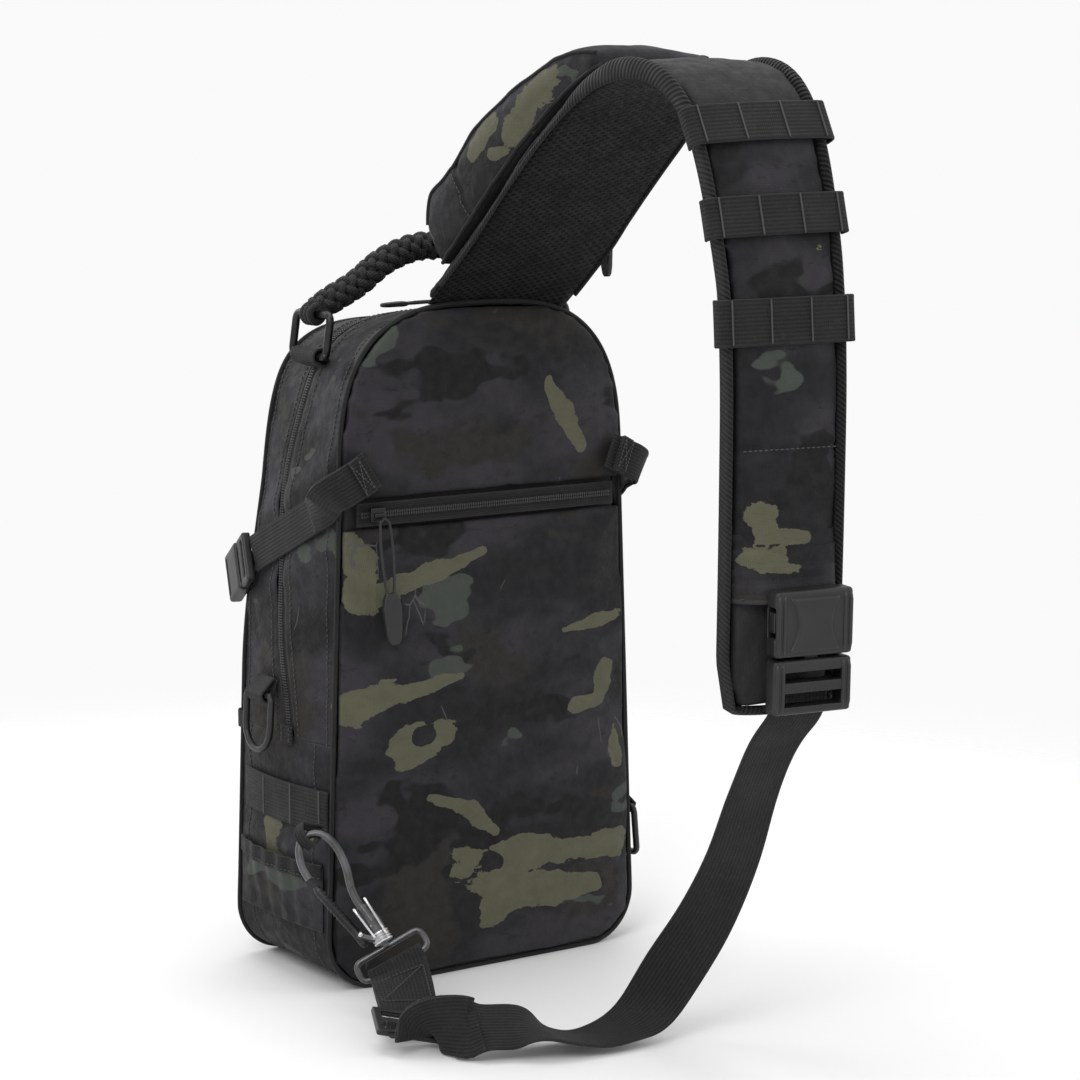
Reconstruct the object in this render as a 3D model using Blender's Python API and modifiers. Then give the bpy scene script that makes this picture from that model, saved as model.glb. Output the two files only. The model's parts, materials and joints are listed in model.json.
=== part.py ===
"""Sling bag: soft dome-topped body, arched padded shoulder strap, webbing with snap hook.

Metres, +Z up. The back panel and the strap face -Y, the pockets face +Y, and the
side with the snap hook is -X. The bag stands on z = 0, centred on the base.
"""

import math

import bmesh
import bpy
import numpy as np
from mathutils import Vector

# Body
HALF_LOW = 0.1215       # half width of the outline near the base
HALF_HIGH = 0.1105      # half width where the dome starts
DOME_START = 0.330
TOP_Z = 0.449
BASE_Z = 0.0022         # underside of the fabric, above the base plate
CORNER = 0.034
HALF_DEPTH = 0.0580     # gusset runs from -HALF_DEPTH to +HALF_DEPTH
FABRIC = 0.0022
BULGE = 0.0065          # how far the gusset swells at mid depth
TAPER = 0.0175          # how much smaller the dome is at the front
SPLIT_Z = 0.1650        # seam where the opening half hinges
GAP = 0.0003
ZIP_Y = 0.0053
TAPE = 0.0052

# Straps
MAIN_WEB = 0.038
SIDE_WEB = 0.025
WEB_T = 0.0016
PAD_T = 0.0105
MESH_T = 0.0022

# Hardware
SLIDER = (0.0095, 0.0090, 0.0046)
RING_WIRE = 0.0028
HANDLE_R = 0.0112


def clear():
    for obj in list(bpy.data.objects):
        bpy.data.objects.remove(obj, do_unlink=True)


clear()
PARTS = bpy.data.collections.new("sling_bag")
CUTTERS = bpy.data.collections.new("cutters")
bpy.context.scene.collection.children.link(PARTS)
bpy.context.scene.collection.children.link(CUTTERS)

COLOURS = {
    "camo": (0.045, 0.045, 0.05, 1.0),
    "web": (0.02, 0.02, 0.022, 1.0),
    "mesh": (0.015, 0.015, 0.017, 1.0),
    "plastic": (0.018, 0.018, 0.02, 1.0),
    "metal": (0.06, 0.06, 0.065, 1.0),
    "steel": (0.45, 0.45, 0.47, 1.0),
}


def material(name, kind):
    mat = bpy.data.materials.new(name)
    mat.use_nodes = True
    shader = mat.node_tree.nodes["Principled BSDF"]
    shader.inputs["Base Color"].default_value = COLOURS[kind]
    shader.inputs["Metallic"].default_value = 1.0 if kind in ("metal", "steel") else 0.0
    shader.inputs["Roughness"].default_value = 0.4 if kind in ("plastic", "metal", "steel") else 0.8
    return mat


def mesh_object(name, points, faces, kind, cutter=False, origin=(0, 0, 0)):
    mesh = bpy.data.meshes.new(name)
    at = Vector(origin)
    mesh.from_pydata([Vector(p) - at for p in points], [], faces)
    form = bmesh.new()
    form.from_mesh(mesh)
    bmesh.ops.recalc_face_normals(form, faces=form.faces)
    form.to_mesh(mesh)
    form.free()
    obj = bpy.data.objects.new(name, mesh)
    obj.location = at
    if cutter:
        CUTTERS.objects.link(obj)
        obj.hide_render = True
        obj.display_type = "WIRE"
    else:
        PARTS.objects.link(obj)
        mesh.materials.append(material(name, kind))
    return obj


def boolean(obj, other, operation="DIFFERENCE"):
    mod = obj.modifiers.new(operation.lower() + "_" + other.name, "BOOLEAN")
    mod.operation = operation
    mod.solver = "EXACT"
    mod.object = other


def bevel(obj, width, segments=2, angle=40):
    mod = obj.modifiers.new("bevel", "BEVEL")
    mod.width = width
    mod.segments = segments
    mod.limit_method = "ANGLE"
    mod.angle_limit = math.radians(angle)


def unit(v):
    v = np.asarray(v, float)
    return v / np.linalg.norm(v)


def spline(points, count, closed=False):
    """Catmull-Rom through the points, resampled evenly."""
    p = np.asarray(points, float)
    n = len(p)
    if closed:
        ends = np.concatenate([p[-1:], p, p[:2]])
        spans = n
    else:
        ends = np.concatenate([2 * p[:1] - p[1:2], p, 2 * p[-1:] - p[-2:-1]])
        spans = n - 1
    fine = []
    for i in range(spans):
        a, b, c, d = ends[i], ends[i + 1], ends[i + 2], ends[i + 3]
        for t in np.linspace(0, 1, 24, endpoint=False):
            fine.append(0.5 * (2 * b + (c - a) * t + (2 * a - 5 * b + 4 * c - d) * t ** 2
                               + (3 * b - a - 3 * c + d) * t ** 3))
    fine.append(p[0] if closed else p[-1])
    fine = np.array(fine)
    run = np.concatenate([[0], np.cumsum(np.linalg.norm(np.diff(fine, axis=0), axis=1))])
    at = np.linspace(0, run[-1], count + 1 if closed else count)
    out = np.stack([np.interp(at, run, fine[:, k]) for k in range(fine.shape[1])], axis=1)
    return out[:-1] if closed else out


def ring_stack(name, rings, kind, closed=False, cutter=False, origin=(0, 0, 0)):
    """Closed solid through a run of rings; open runs get a cap at each end."""
    m = len(rings[0])
    points = [tuple(p) for ring in rings for p in ring]
    faces = []
    runs = len(rings) if closed else len(rings) - 1
    for r in range(runs):
        a, b = r * m, ((r + 1) % len(rings)) * m
        for i in range(m):
            j = (i + 1) % m
            faces.append((a + i, a + j, b + j, b + i))
    if not closed:
        faces.append(tuple(reversed(range(m))))
        faces.append(tuple(range((len(rings) - 1) * m, len(rings) * m)))
    return mesh_object(name, points, faces, kind, cutter, origin)


def grid_solid(name, outer, inner, kind, wrap=False):
    """Closed solid between two grids of points; wrap joins the first row to the last."""
    rows, cols = outer.shape[:2]
    points = [tuple(p) for p in outer.reshape(-1, 3)] + [tuple(p) for p in inner.reshape(-1, 3)]
    half = rows * cols
    faces = []
    for i in range(rows if wrap else rows - 1):
        k = (i + 1) % rows
        for j in range(cols - 1):
            a, b, c, d = i * cols + j, k * cols + j, k * cols + j + 1, i * cols + j + 1
            faces.append((a, b, c, d))
            faces.append((half + d, half + c, half + b, half + a))
        for j in (0, cols - 1):
            a, b = i * cols + j, k * cols + j
            faces.append((a, b, half + b, half + a))
    if not wrap:
        for i in (0, rows - 1):
            for j in range(cols - 1):
                a, b = i * cols + j, i * cols + j + 1
                faces.append((a, b, half + b, half + a))
    return mesh_object(name, points, faces, kind)


def section_strap(width, thick):
    """Flat webbing section with softened edges, as (across, normal) offsets."""
    w, t = width / 2, thick / 2
    e = min(t, 0.0012)
    return [(-w, -t + e * 0.5), (-w + e, -t), (w - e, -t), (w, -t + e * 0.5),
            (w, t - e * 0.5), (w - e, t), (-w + e, t), (-w, t - e * 0.5)]


def section_round(radius, sides=8, squash=1.0):
    return [(radius * math.cos(a), radius * squash * math.sin(a))
            for a in np.linspace(0, 2 * math.pi, sides, endpoint=False)]


def sweep(name, path, across, sections, kind, closed=False, origin=(0, 0, 0), cutter=False):
    """Carries a section along a path; across gives the section's width direction."""
    path = np.asarray(path, float)
    n = len(path)
    across = np.asarray(across, float)
    if across.ndim == 1:
        across = np.repeat(across[None], n, axis=0)
    if not isinstance(sections[0][0], (tuple, list)):
        sections = [sections] * n
    rings = []
    for i in range(n):
        if closed:
            tangent = path[(i + 1) % n] - path[i - 1]
        else:
            tangent = path[min(i + 1, n - 1)] - path[max(i - 1, 0)]
        tangent = unit(tangent)
        side = unit(across[i] - tangent * np.dot(across[i], tangent))
        normal = np.cross(tangent, side)
        rings.append([path[i] + side * u + normal * v for u, v in sections[i]])
    return ring_stack(name, rings, kind, closed, cutter, origin)


def lerp_rows(rows, count):
    """Rows of numbers resampled evenly by index."""
    rows = np.asarray(rows, float)
    at = np.linspace(0, len(rows) - 1, count)
    return np.stack([np.interp(at, range(len(rows)), rows[:, k]) for k in range(rows.shape[1])], axis=1)


def box(name, centre, size, kind, soft=0.0, axes=None, cutter=False, origin=None):
    c = np.asarray(centre, float)
    ax = np.eye(3) if axes is None else np.array([unit(a) for a in axes])
    corners = []
    for sx, sy, sz in ((-1, -1, -1), (1, -1, -1), (1, 1, -1), (-1, 1, -1),
                       (-1, -1, 1), (1, -1, 1), (1, 1, 1), (-1, 1, 1)):
        corners.append(c + (ax[0] * sx * size[0] + ax[1] * sy * size[1] + ax[2] * sz * size[2]) / 2)
    faces = [(0, 3, 2, 1), (4, 5, 6, 7), (0, 1, 5, 4), (1, 2, 6, 5), (2, 3, 7, 6), (3, 0, 4, 7)]
    obj = mesh_object(name, corners, faces, kind, cutter, tuple(origin) if origin is not None else tuple(c))
    if soft:
        bevel(obj, soft)
    return obj


# ---------------------------------------------------------------- body outline
def half_outline():
    """From the middle of the base up the +X side to the top of the dome, as (x, z)."""
    points = [(0.0, BASE_Z), (0.045, BASE_Z)]
    for a in np.linspace(0, math.pi / 2, 7):
        points.append((HALF_LOW - CORNER + CORNER * math.sin(a), BASE_Z + CORNER * (1 - math.cos(a))))
    for z in np.linspace(0.06, DOME_START, 10):
        points.append((HALF_LOW + (HALF_HIGH - HALF_LOW) * (z - 0.036) / (DOME_START - 0.036), z))
    rise = TOP_Z - DOME_START
    for a in np.linspace(0.02, math.pi / 2, 24):
        points.append((HALF_HIGH * math.cos(a) ** (2 / 3) if a < math.pi / 2 - 1e-6 else 0.0,
                       DOME_START + rise * math.sin(a) ** (2 / 3)))
    return np.array(points)


def outline(offset=0.0, z_low=None, z_high=None, count=56):
    """The whole outline, or the part of it above z_low or below z_high, moved out by offset."""
    right = half_outline()
    left = right[::-1][1:-1] * (-1, 1)
    loop = np.concatenate([right, left])
    fine = spline(loop, 400, closed=True)
    tangent = np.roll(fine, -1, axis=0) - np.roll(fine, 1, axis=0)
    normal = np.stack([tangent[:, 1], -tangent[:, 0]], axis=1)
    normal /= np.linalg.norm(normal, axis=1)[:, None]
    moved = fine + normal * (np.asarray(offset)[:, None] if np.ndim(offset) else offset)
    if z_low is None and z_high is None:
        start = 0
        idx = np.arange(400)
        full = np.concatenate([moved, moved[:1]])
        run = np.concatenate([[0], np.cumsum(np.linalg.norm(np.diff(full, axis=0), axis=1))])
        at = np.linspace(0, run[-1], count, endpoint=False)
        return np.stack([np.interp(at, run, full[:, k]) for k in (0, 1)], axis=1)
    keep = moved[:, 1] > z_low if z_low is not None else moved[:, 1] < z_high
    limit = z_low if z_low is not None else z_high
    order = np.arange(400)
    if z_high is not None:
        moved, keep = np.roll(moved, 200, axis=0), np.roll(keep, 200)
    inside = order[keep]
    first, last = inside[0], inside[-1]

    def meet(a, b):
        t = (limit - a[1]) / (b[1] - a[1])
        return a + (b - a) * t

    piece = np.concatenate([[meet(moved[first - 1], moved[first])], moved[first:last + 1],
                            [meet(moved[last], moved[(last + 1) % 400])]])
    run = np.concatenate([[0], np.cumsum(np.linalg.norm(np.diff(piece, axis=0), axis=1))])
    at = np.linspace(0, run[-1], count)
    return np.stack([np.interp(at, run, piece[:, k]) for k in (0, 1)], axis=1)


def outline_heights():
    right = half_outline()
    left = right[::-1][1:-1] * (-1, 1)
    return spline(np.concatenate([right, left]), 400, closed=True)[:, 1]


def swell(z):
    """Share of the gusset's bulge at a height: none at the base and at the top."""
    low = np.clip((z - 0.02) / 0.07, 0, 1)
    high = np.clip((0.400 - z) / 0.10, 0, 1)
    return low * low * (3 - 2 * low) * high * high * (3 - 2 * high)


def lean(z):
    """Share of the forward taper at a height: the dome gets smaller toward the front."""
    t = np.clip((z - 0.20) / 0.20, 0, 1)
    return t * t * (3 - 2 * t)


def gusset_offset(y, z):
    front = np.clip((y + HALF_DEPTH) / (2 * HALF_DEPTH), 0, 1)
    return BULGE * (1 - (y / HALF_DEPTH) ** 2) * swell(z) - TAPER * front ** 1.15 * lean(z)


def zip_shift(z):
    """The zip line leans back near its lower end and forward at mid height."""
    return -0.0185 * np.exp(-((z - 0.155) / 0.06) ** 2) + 0.0100 * np.exp(-((z - 0.33) / 0.042) ** 2)


def band(name, y0, y1, cols, thick, kind, z_low=None, z_high=None, lift=0.0, count=56, curve=(0, 0)):
    """A strip of the gusset between two depths; curve says which of its edges follow the zip line."""
    base = outline(0.0, z_low, z_high, count)
    wrap = z_low is None and z_high is None
    if wrap:
        tangent = np.roll(base, -1, axis=0) - np.roll(base, 1, axis=0)
    else:
        tangent = np.gradient(base, axis=0)
    normal = np.stack([tangent[:, 1], -tangent[:, 0]], axis=1)
    normal /= np.linalg.norm(normal, axis=1)[:, None]
    if not wrap:
        normal[0, 1] = 0
        normal[-1, 1] = 0
        normal /= np.linalg.norm(normal, axis=1)[:, None]
    outer = np.zeros((len(base), cols, 3))
    inner = np.zeros_like(outer)
    shift = zip_shift(base[:, 1])
    for j, f in enumerate(np.linspace(0, 1, cols)):
        y = (y0 + curve[0] * shift) * (1 - f) + (y1 + curve[1] * shift) * f
        out = (gusset_offset(y, base[:, 1]) + lift)[:, None] * normal
        for grid, deeper in ((outer, 0.0), (inner, thick)):
            at = base + out - normal * deeper
            grid[:, j, 0] = at[:, 0]
            grid[:, j, 1] = y
            grid[:, j, 2] = at[:, 1]
    return grid_solid(name, outer, inner, kind, wrap)


def plate(name, loop, y_flat, y_edge, puff, kind, toward):
    """A panel with a flat side at y_flat and a side at y_edge that swells by puff."""
    centre = loop.mean(axis=0)
    rings = []
    steps = (0.22, 0.5, 0.76, 0.9, 0.97)
    for s in steps:
        swollen = y_edge + toward * puff * (1 - s ** 5)
        rings.append([(p[0], swollen, p[1]) for p in centre + (loop - centre) * s])
    rings.append([(p[0], y_edge, p[1]) for p in loop])
    rings.append([(p[0], y_flat, p[1]) for p in loop])
    rings.append([(p[0], y_flat, p[1]) for p in centre + (loop - centre) * 0.5])
    return ring_stack(name, rings, kind)


# ---------------------------------------------------------------- body
back_panel = plate("back_panel", outline(0.0004, count=60), -0.0585, -0.0640, 0.0055, "camo", -1)
slot = box("back_zip_window", (0, -0.069, 0.3165), (0.206, 0.0165, 0.0150), "camo", cutter=True)
pocket = box("back_pocket_void", (0, -0.0617, 0.180), (0.206, 0.0019, 0.288), "camo", cutter=True)
boolean(slot, pocket, "UNION")
boolean(back_panel, slot)

foam_loop = outline(-0.0040, count=48)
plate("back_foam", foam_loop, -0.0520, -0.0581, 0.0, "mesh", -1)

band("rear_gusset", -0.0581, 0.0, 6, FABRIC, "camo", z_low=SPLIT_Z + GAP, count=58, curve=(0, 1))
band("lower_gusset", -0.0581, 0.0577, 9, FABRIC, "camo", z_high=SPLIT_Z, count=44)
band("lid_gusset", ZIP_Y * 2 + GAP, 0.0577, 6, FABRIC, "camo", z_low=SPLIT_Z + GAP, count=58, curve=(1, 0))
band("main_zip_tape_rear", GAP, ZIP_Y - GAP / 2, 2, 0.0014, "web",
     z_low=SPLIT_Z + 0.020, lift=-0.0003, curve=(1, 1))
band("main_zip_tape_lid", ZIP_Y + GAP / 2, ZIP_Y * 2, 2, 0.0014, "web",
     z_low=SPLIT_Z + 0.020, lift=-0.0003, curve=(1, 1))
box("base_panel", (0, 0, 0.0009), (0.168, 0.100, 0.0018), "web")

low_loop = outline(0.0, z_high=SPLIT_Z - 0.0004, count=44)
plate("front_panel_lower", low_loop, 0.0580, 0.0612, 0.0015, "camo", 1)
high_loop = outline(-TAPER * lean(outline_heights()), z_low=SPLIT_Z + 0.0007, count=52)
plate("front_panel_upper", high_loop, 0.0580, 0.0612, 0.0015, "camo", 1)


def shaped_pocket(name, centre, half_w, z0, z1, y_back, y_front, top_round, wall, window):
    """A zipped pocket with a rounded face, open inside and through its zip window."""
    def ring(inset, y, low, high):
        points = []
        r = top_round
        w = half_w - inset
        for cx, cz, a0 in ((w - r, high - r, 0), (-w + r, high - r, 90), (-w + 0.012, low + 0.012, 180),
                           (w - 0.012, low + 0.012, 270)):
            rad = r if a0 < 180 else 0.012
            for a in np.linspace(math.radians(a0), math.radians(a0 + 90), 6):
                points.append((centre + cx + rad * math.cos(a), y, cz + rad * math.sin(a)))
        return points

    depth = y_front - y_back
    outer = [ring(0, y_back, z0, z1), ring(0, y_front - depth * 0.35, z0, z1),
             ring(0.003, y_front - depth * 0.12, z0 + 0.003, z1 - 0.003),
             ring(0.010, y_front, z0 + 0.010, z1 - 0.010)]
    body = ring_stack(name, outer, "camo")
    inner = [ring(wall, y_back - 0.002, z0 + wall, z1 - wall),
             ring(wall, y_front - depth * 0.40, z0 + wall, z1 - wall),
             ring(wall + 0.009, y_front - wall, z0 + wall + 0.009, z1 - wall - 0.009)]
    void = ring_stack(name + "_void", inner, "camo", cutter=True)
    boolean(body, void)
    cut = box(name + "_window", window[0], window[1], "camo", cutter=True)
    boolean(body, cut)
    return body


shaped_pocket("lower_pocket", 0.0, 0.094, 0.026, 0.157, 0.0632, 0.0800, 0.020, 0.0016,
              ((0, 0.082, 0.134), (0.150, 0.012, 0.0090)))
box("lower_pocket_zip_tape", (0, 0.0790, 0.134), (0.1488, 0.0012, 0.0078), "web")
shaped_pocket("upper_pocket", 0.0, 0.074, 0.188, 0.362, 0.0632, 0.0772, 0.034, 0.0016,
              ((0, 0.080, 0.318), (0.104, 0.012, 0.0090)))
box("upper_pocket_zip_tape", (0, 0.0762, 0.318), (0.1028, 0.0012, 0.0078), "web")


def zip_slider(name, centre, along, out, kind="metal", length=0.011):
    """Slider body with the two shoulders and the bridge that a pull hangs from."""
    side = np.cross(out, along)
    c = np.asarray(centre, float)
    body = box(name, c, (length, 0.0092, 0.0026), kind, 0.0006, (along, side, out))
    bridge = box(name + "_bridge", c + np.asarray(out) * 0.0022, (length * 0.7, 0.0024, 0.0030),
                 kind, 0.0, (along, side, out), cutter=True)
    boolean(body, bridge, "UNION")
    return body


def pull(name, start, direction, width_dir, length, cord_r, end_len, end_w, end_t, kind="plastic", origin=None):
    """Loop of cord ending in a moulded tab, joined as one pull."""
    d = unit(direction)
    w = unit(np.asarray(width_dir, float) - d * np.dot(width_dir, d))
    n = np.cross(d, w)
    s = np.asarray(start, float)
    loop = [s + w * 0.0034, s - d * 0.0026, s - w * 0.0034]
    reach = length - end_len
    loop += [s + d * reach * 0.5 - w * 0.0044, s + d * (reach + 0.002) - w * 0.0022,
             s + d * (reach + 0.002) + w * 0.0022, s + d * reach * 0.5 + w * 0.0044]
    path = spline(loop, 24, closed=True)
    cord = sweep(name, path, n, section_round(cord_r, 6), kind, closed=True,
                 origin=tuple(origin if origin is not None else s))
    rings = []
    for f, wide, thick in ((0, 0.55, 0.75), (0.12, 0.85, 1.0), (0.3, 1.0, 1.0), (0.75, 0.86, 0.9),
                           (0.93, 0.66, 0.8), (1.0, 0.4, 0.6)):
        at = s + d * (reach + end_len * f)
        rings.append([at + w * u * wide + n * v * thick
                      for u, v in section_strap(end_w, end_t)])
    tab = ring_stack(name + "_tab", rings, kind, cutter=True)
    boolean(cord, tab, "UNION")
    return cord


# Main zip: the slider rides the flat top of the dome, radius 0.25 about (0, 0.199)
SLIDE_A = math.radians(2.5)
slide_c = np.array([0.25 * math.sin(SLIDE_A), ZIP_Y, 0.199 + (0.2525 - 0.0073) * math.cos(SLIDE_A)])
zip_slider("main_zip_slider", slide_c, (1, 0, -math.tan(SLIDE_A)), (math.tan(SLIDE_A), 0, 1))
pull("main_zip_pull", slide_c + (-0.0088, 0, 0.0022), (-1, 0, -0.03), (0, 1, 0), 0.040, 0.0010,
     0.020, 0.0090, 0.0034)

# Back zip
box("back_zip_tape", (0, -0.0655, 0.3165), (0.2050, 0.0014, 0.0140), "web")
back_s = np.array([-0.0880, -0.0682, 0.3165])
zip_slider("back_zip_slider", back_s, (1, 0, 0), (0, -1, 0))
pull("back_zip_pull", back_s + (0.0025, -0.0046, -0.0050), (0.06, -0.05, -1), (1, 0, 0), 0.080, 0.0011,
     0.034, 0.0135, 0.0042)

for zname, zx, zy, zz in (("lower_pocket_slider", -0.062, 0.0815, 0.134),
                          ("upper_pocket_slider", -0.040, 0.0787, 0.318)):
    one = zip_slider(zname, (zx, zy, zz), (1, 0, 0), (0, 1, 0))
    strip = box(zname + "_pull", (zx, zy + 0.0030, zz - 0.0150), (0.0070, 0.0022, 0.0290),
                "plastic", 0.0, cutter=True)
    boolean(one, strip, "UNION")

# ---------------------------------------------------------------- left and right sides


def gusset_x(y, z, side=-1):
    """Outer face of the gusset at a depth and a height on the straight sides."""
    half = HALF_LOW + (HALF_HIGH - HALF_LOW) * (z - 0.036) / (DOME_START - 0.036)
    return side * (half + gusset_offset(y, z))


def side_band(name, z, width, y0, y1, lift, side, kind="web", stand=0.0):
    """Webbing laid across the gusset at a height."""
    ys = np.linspace(y0, y1, 9)
    path = []
    for y in ys:
        path.append((gusset_x(y, z, side) + side * (lift + WEB_T / 2), y, z))
    return sweep(name, path, (0, 0, 1), section_strap(width, WEB_T), kind)


side_band("side_band_left", 0.1210, 0.0280, -0.0560, 0.0470, 0.0006, -1)


def side_pocket():
    """Slip pocket on the left gusset, open at the top."""
    ys = np.linspace(-0.052, 0.052, 9)
    zs = np.linspace(0.040, 0.0835, 5)
    outer = np.zeros((5, 9, 3))
    inner = np.zeros((5, 9, 3))
    for i, z in enumerate(zs):
        for j, y in enumerate(ys):
            away = 0.0006 + 0.0035 * (1 - (y / 0.052) ** 4) * (0.4 + 0.6 * i / 4)
            x = gusset_x(y, z)
            outer[i, j] = (x - away - 0.0018, y, z)
            inner[i, j] = (x - away, y, z)
    grid_solid("side_pocket", outer, inner, "camo")


side_pocket()


def wire_ring(name, centre, half_w, half_h, across, up, wire, kind, d_shape=False, origin=None):
    """Rectangular or D-shaped ring of round wire; across is its flat bar's direction."""
    c, a, u = np.asarray(centre, float), unit(across), unit(up)
    if d_shape:
        bow = [(half_w * math.cos(t), -half_h * 0.2 + half_h * 0.95 * -math.sin(t))
               for t in np.linspace(0, math.pi, 9)]
        pts = [(half_w * f, half_h) for f in (-0.88, -0.44, 0, 0.44, 0.88)]
        pts += [(half_w, half_h * 0.84), (half_w, half_h * 0.3)] + bow
        pts += [(-half_w, half_h * 0.3), (-half_w, half_h * 0.84)]
    else:
        r = 0.0045
        pts = []
        for sx, sz, a0 in ((1, 1, 0), (-1, 1, 90), (-1, -1, 180), (1, -1, 270)):
            for t in np.linspace(math.radians(a0), math.radians(a0 + 90), 4):
                pts.append((sx * (half_w - r) + r * math.cos(t), sz * (half_h - r) + r * math.sin(t)))
    path = [c + a * p + u * q for p, q in pts]
    return sweep(name, path, np.cross(a, u), section_round(wire, 8), kind, closed=True,
                 origin=tuple(c if origin is None else origin))


def loop_strap(name, bar, out, along, width, clear_r, legs, kind="web"):
    """Short webbing loop folded round a bar; its two legs run back to the body, joined there."""
    b, o, a = np.asarray(bar, float), unit(out), unit(along)
    side = np.cross(a, o)
    r = clear_r + WEB_T / 2
    pts = []
    for t in np.linspace(-1.25, 1.25, 9):
        pts.append(b + o * r * math.cos(t) + side * r * math.sin(t))
    foot = b - o * legs
    pts = [foot + side * -0.0012] + pts + [foot + side * 0.0012]
    path = np.array(pts)
    body = sweep(name, path, a, section_strap(width, WEB_T), kind)
    tie = box(name + "_tie", foot, (width * 0.998, 0.0042, 0.0016), kind, 0.0, (a, side, o), cutter=True)
    boolean(body, tie, "UNION")
    return body


# Left D-ring hangs from a short loop on the rear strip of the gusset
dl = np.array([gusset_x(0.012, 0.192) - 0.0088, 0.0135, 0.1905])
wire_ring("d_ring_left", dl + (-0.0010, 0, -0.0175), 0.0160, 0.0175, (0, 1, 0), (0.06, 0, 1), 0.0024,
          "plastic", d_shape=True, origin=dl)
loop_strap("d_ring_loop_left", dl, (-0.55, 0, -0.84), (0, 1, 0), 0.0220, 0.0034, 0.0105)

# Right lower loop and rectangular ring
rl = np.array([gusset_x(-0.030, 0.0985, 1) + 0.0092, -0.034, 0.0900])
wire_ring("side_ring_right", rl + (0.0016, 0, -0.0170), 0.0155, 0.0170, (0, 1, 0), (-0.09, 0, 1), 0.0024,
          "plastic", origin=rl)
loop_strap("side_ring_loop_right", rl, (0.55, 0, -0.84), (0, 1, 0), 0.0240, 0.0034, 0.0110)

# ---------------------------------------------------------------- carry handle
RING_HALF = 0.0215
ring_low = np.array([-0.0975, 0.0, 0.4150])
ring_high = np.array([-0.0935, 0.0, 0.4425])
handle_path = spline([(-0.0960, 0, 0.4375), (-0.0945, 0, 0.4440), (-0.0800, 0, 0.4510), (-0.0600, 0, 0.4610),
                      (-0.0400, 0, 0.4745), (-0.0180, 0, 0.4825), (0.0, 0, 0.4840), (0.0180, 0, 0.4825),
                      (0.0400, 0, 0.4745), (0.0600, 0, 0.4610), (0.0800, 0, 0.4510), (0.0945, 0, 0.4440),
                      (0.0960, 0, 0.4375)], 34)
sizes = []
for i in range(34):
    sizes.append(section_round(HANDLE_R * (0.92 + 0.08 * math.cos(i * math.pi)), 10, 0.86))
braid = sweep("carry_handle", handle_path, (0, 1, 0), sizes, "web")
for s in (-1, 1):
    bar = ring_high * (-s, 1, 1)
    way = np.array([[bar[0], y, bar[2]] for y in (-0.03, 0.03)])
    cut = sweep("handle_bar_hole_" + ("r" if s > 0 else "l"), way, (1, 0, 0), section_round(0.0033, 10),
                "web", cutter=True)
    boolean(braid, cut)
for side_name, s in (("left", -1), ("right", 1)):
    low = ring_low * (-s, 1, 1)
    high = ring_high * (-s, 1, 1)
    mid = (low + high) / 2
    wire_ring("handle_ring_" + side_name, mid, RING_HALF, float(np.linalg.norm(high - low)) / 2, (0, 1, 0), high - low, RING_WIRE, "metal")
    loop_strap("handle_loop_" + side_name, low, (s * 0.75, 0, 0.66), (0, 1, 0), 0.0300, 0.0046, 0.0064)

# ---------------------------------------------------------------- shoulder pad
PAD_PATH = [(0.0130, -0.0620, 0.4535), (0.0155, -0.0830, 0.4710), (0.0180, -0.1080, 0.4920),
            (0.0190, -0.1400, 0.5220), (0.0195, -0.1730, 0.5510), (0.0200, -0.2050, 0.5760),
            (0.0200, -0.2340, 0.5905), (0.0200, -0.2620, 0.5960), (0.0200, -0.2880, 0.5900),
            (0.0200, -0.3080, 0.5720), (0.0198, -0.3210, 0.5450), (0.0196, -0.3320, 0.5080),
            (0.0195, -0.3395, 0.4700), (0.0195, -0.3425, 0.4200), (0.0195, -0.3425, 0.3600),
            (0.0195, -0.3415, 0.2900), (0.0195, -0.3400, 0.2260)]
PAD_N = 46
pad_mid = spline(PAD_PATH, PAD_N)
share = np.linspace(0, 1, PAD_N)
pad_width = np.interp(share, (0, 0.08, 0.22, 0.32, 0.47, 0.62, 1.0), (0.112, 0.115, 0.114, 0.107, 0.0865, 0.078, 0.077))
turn = np.radians(np.interp(share, (0, 0.3, 0.6, 1.0), (0, 0, 8, 8)))
pad_across = np.stack([np.cos(turn), -np.sin(turn), 0 * turn], axis=1)


def pad_frame(i):
    tangent = unit(pad_mid[min(i + 1, PAD_N - 1)] - pad_mid[max(i - 1, 0)])
    side = unit(pad_across[i] - tangent * np.dot(pad_across[i], tangent))
    return tangent, side, np.cross(tangent, side)


def root_drop(i, x):
    """The pad's root follows the curve of the dome that it is sewn to."""
    return x * x / 0.62 * max(0.0, 1 - i / 5)


def pad_layer(name, low, high, trim, first, last, kind, round_end=True, crown=0.0):
    """A layer of the pad between two heights above its inner face."""
    rings = []
    for i in range(first, last + 1):
        _, side, out = pad_frame(i)
        half = pad_width[i] / 2 - trim
        if round_end and i > last - 3:
            half *= (1.0, 0.97, 0.84)[i - last + 2]
        c = pad_mid[i]
        lows = [(-1, low), (-0.5, low), (0, low), (0.5, low), (1, low)]
        highs = [(1, high * 0.8 + low * 0.2), (0.9, high), (0.45, high + crown * 0.8), (0, high + crown),
                 (-0.45, high + crown * 0.8), (-0.9, high), (-1, high * 0.8 + low * 0.2)]
        ring = [c + side * u * half + out * v for u, v in lows + highs]
        rings.append([p - np.array([0, 0, root_drop(i, p[0])]) for p in ring])
    return ring_stack(name, rings, kind)


pad_layer("pad_mesh", 0.0, MESH_T, 0.0022, 0, PAD_N - 1, "mesh")
pad_layer("shoulder_pad", MESH_T + GAP, PAD_T, 0.0022, 0, PAD_N - 1, "camo", crown=0.0018)


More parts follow.
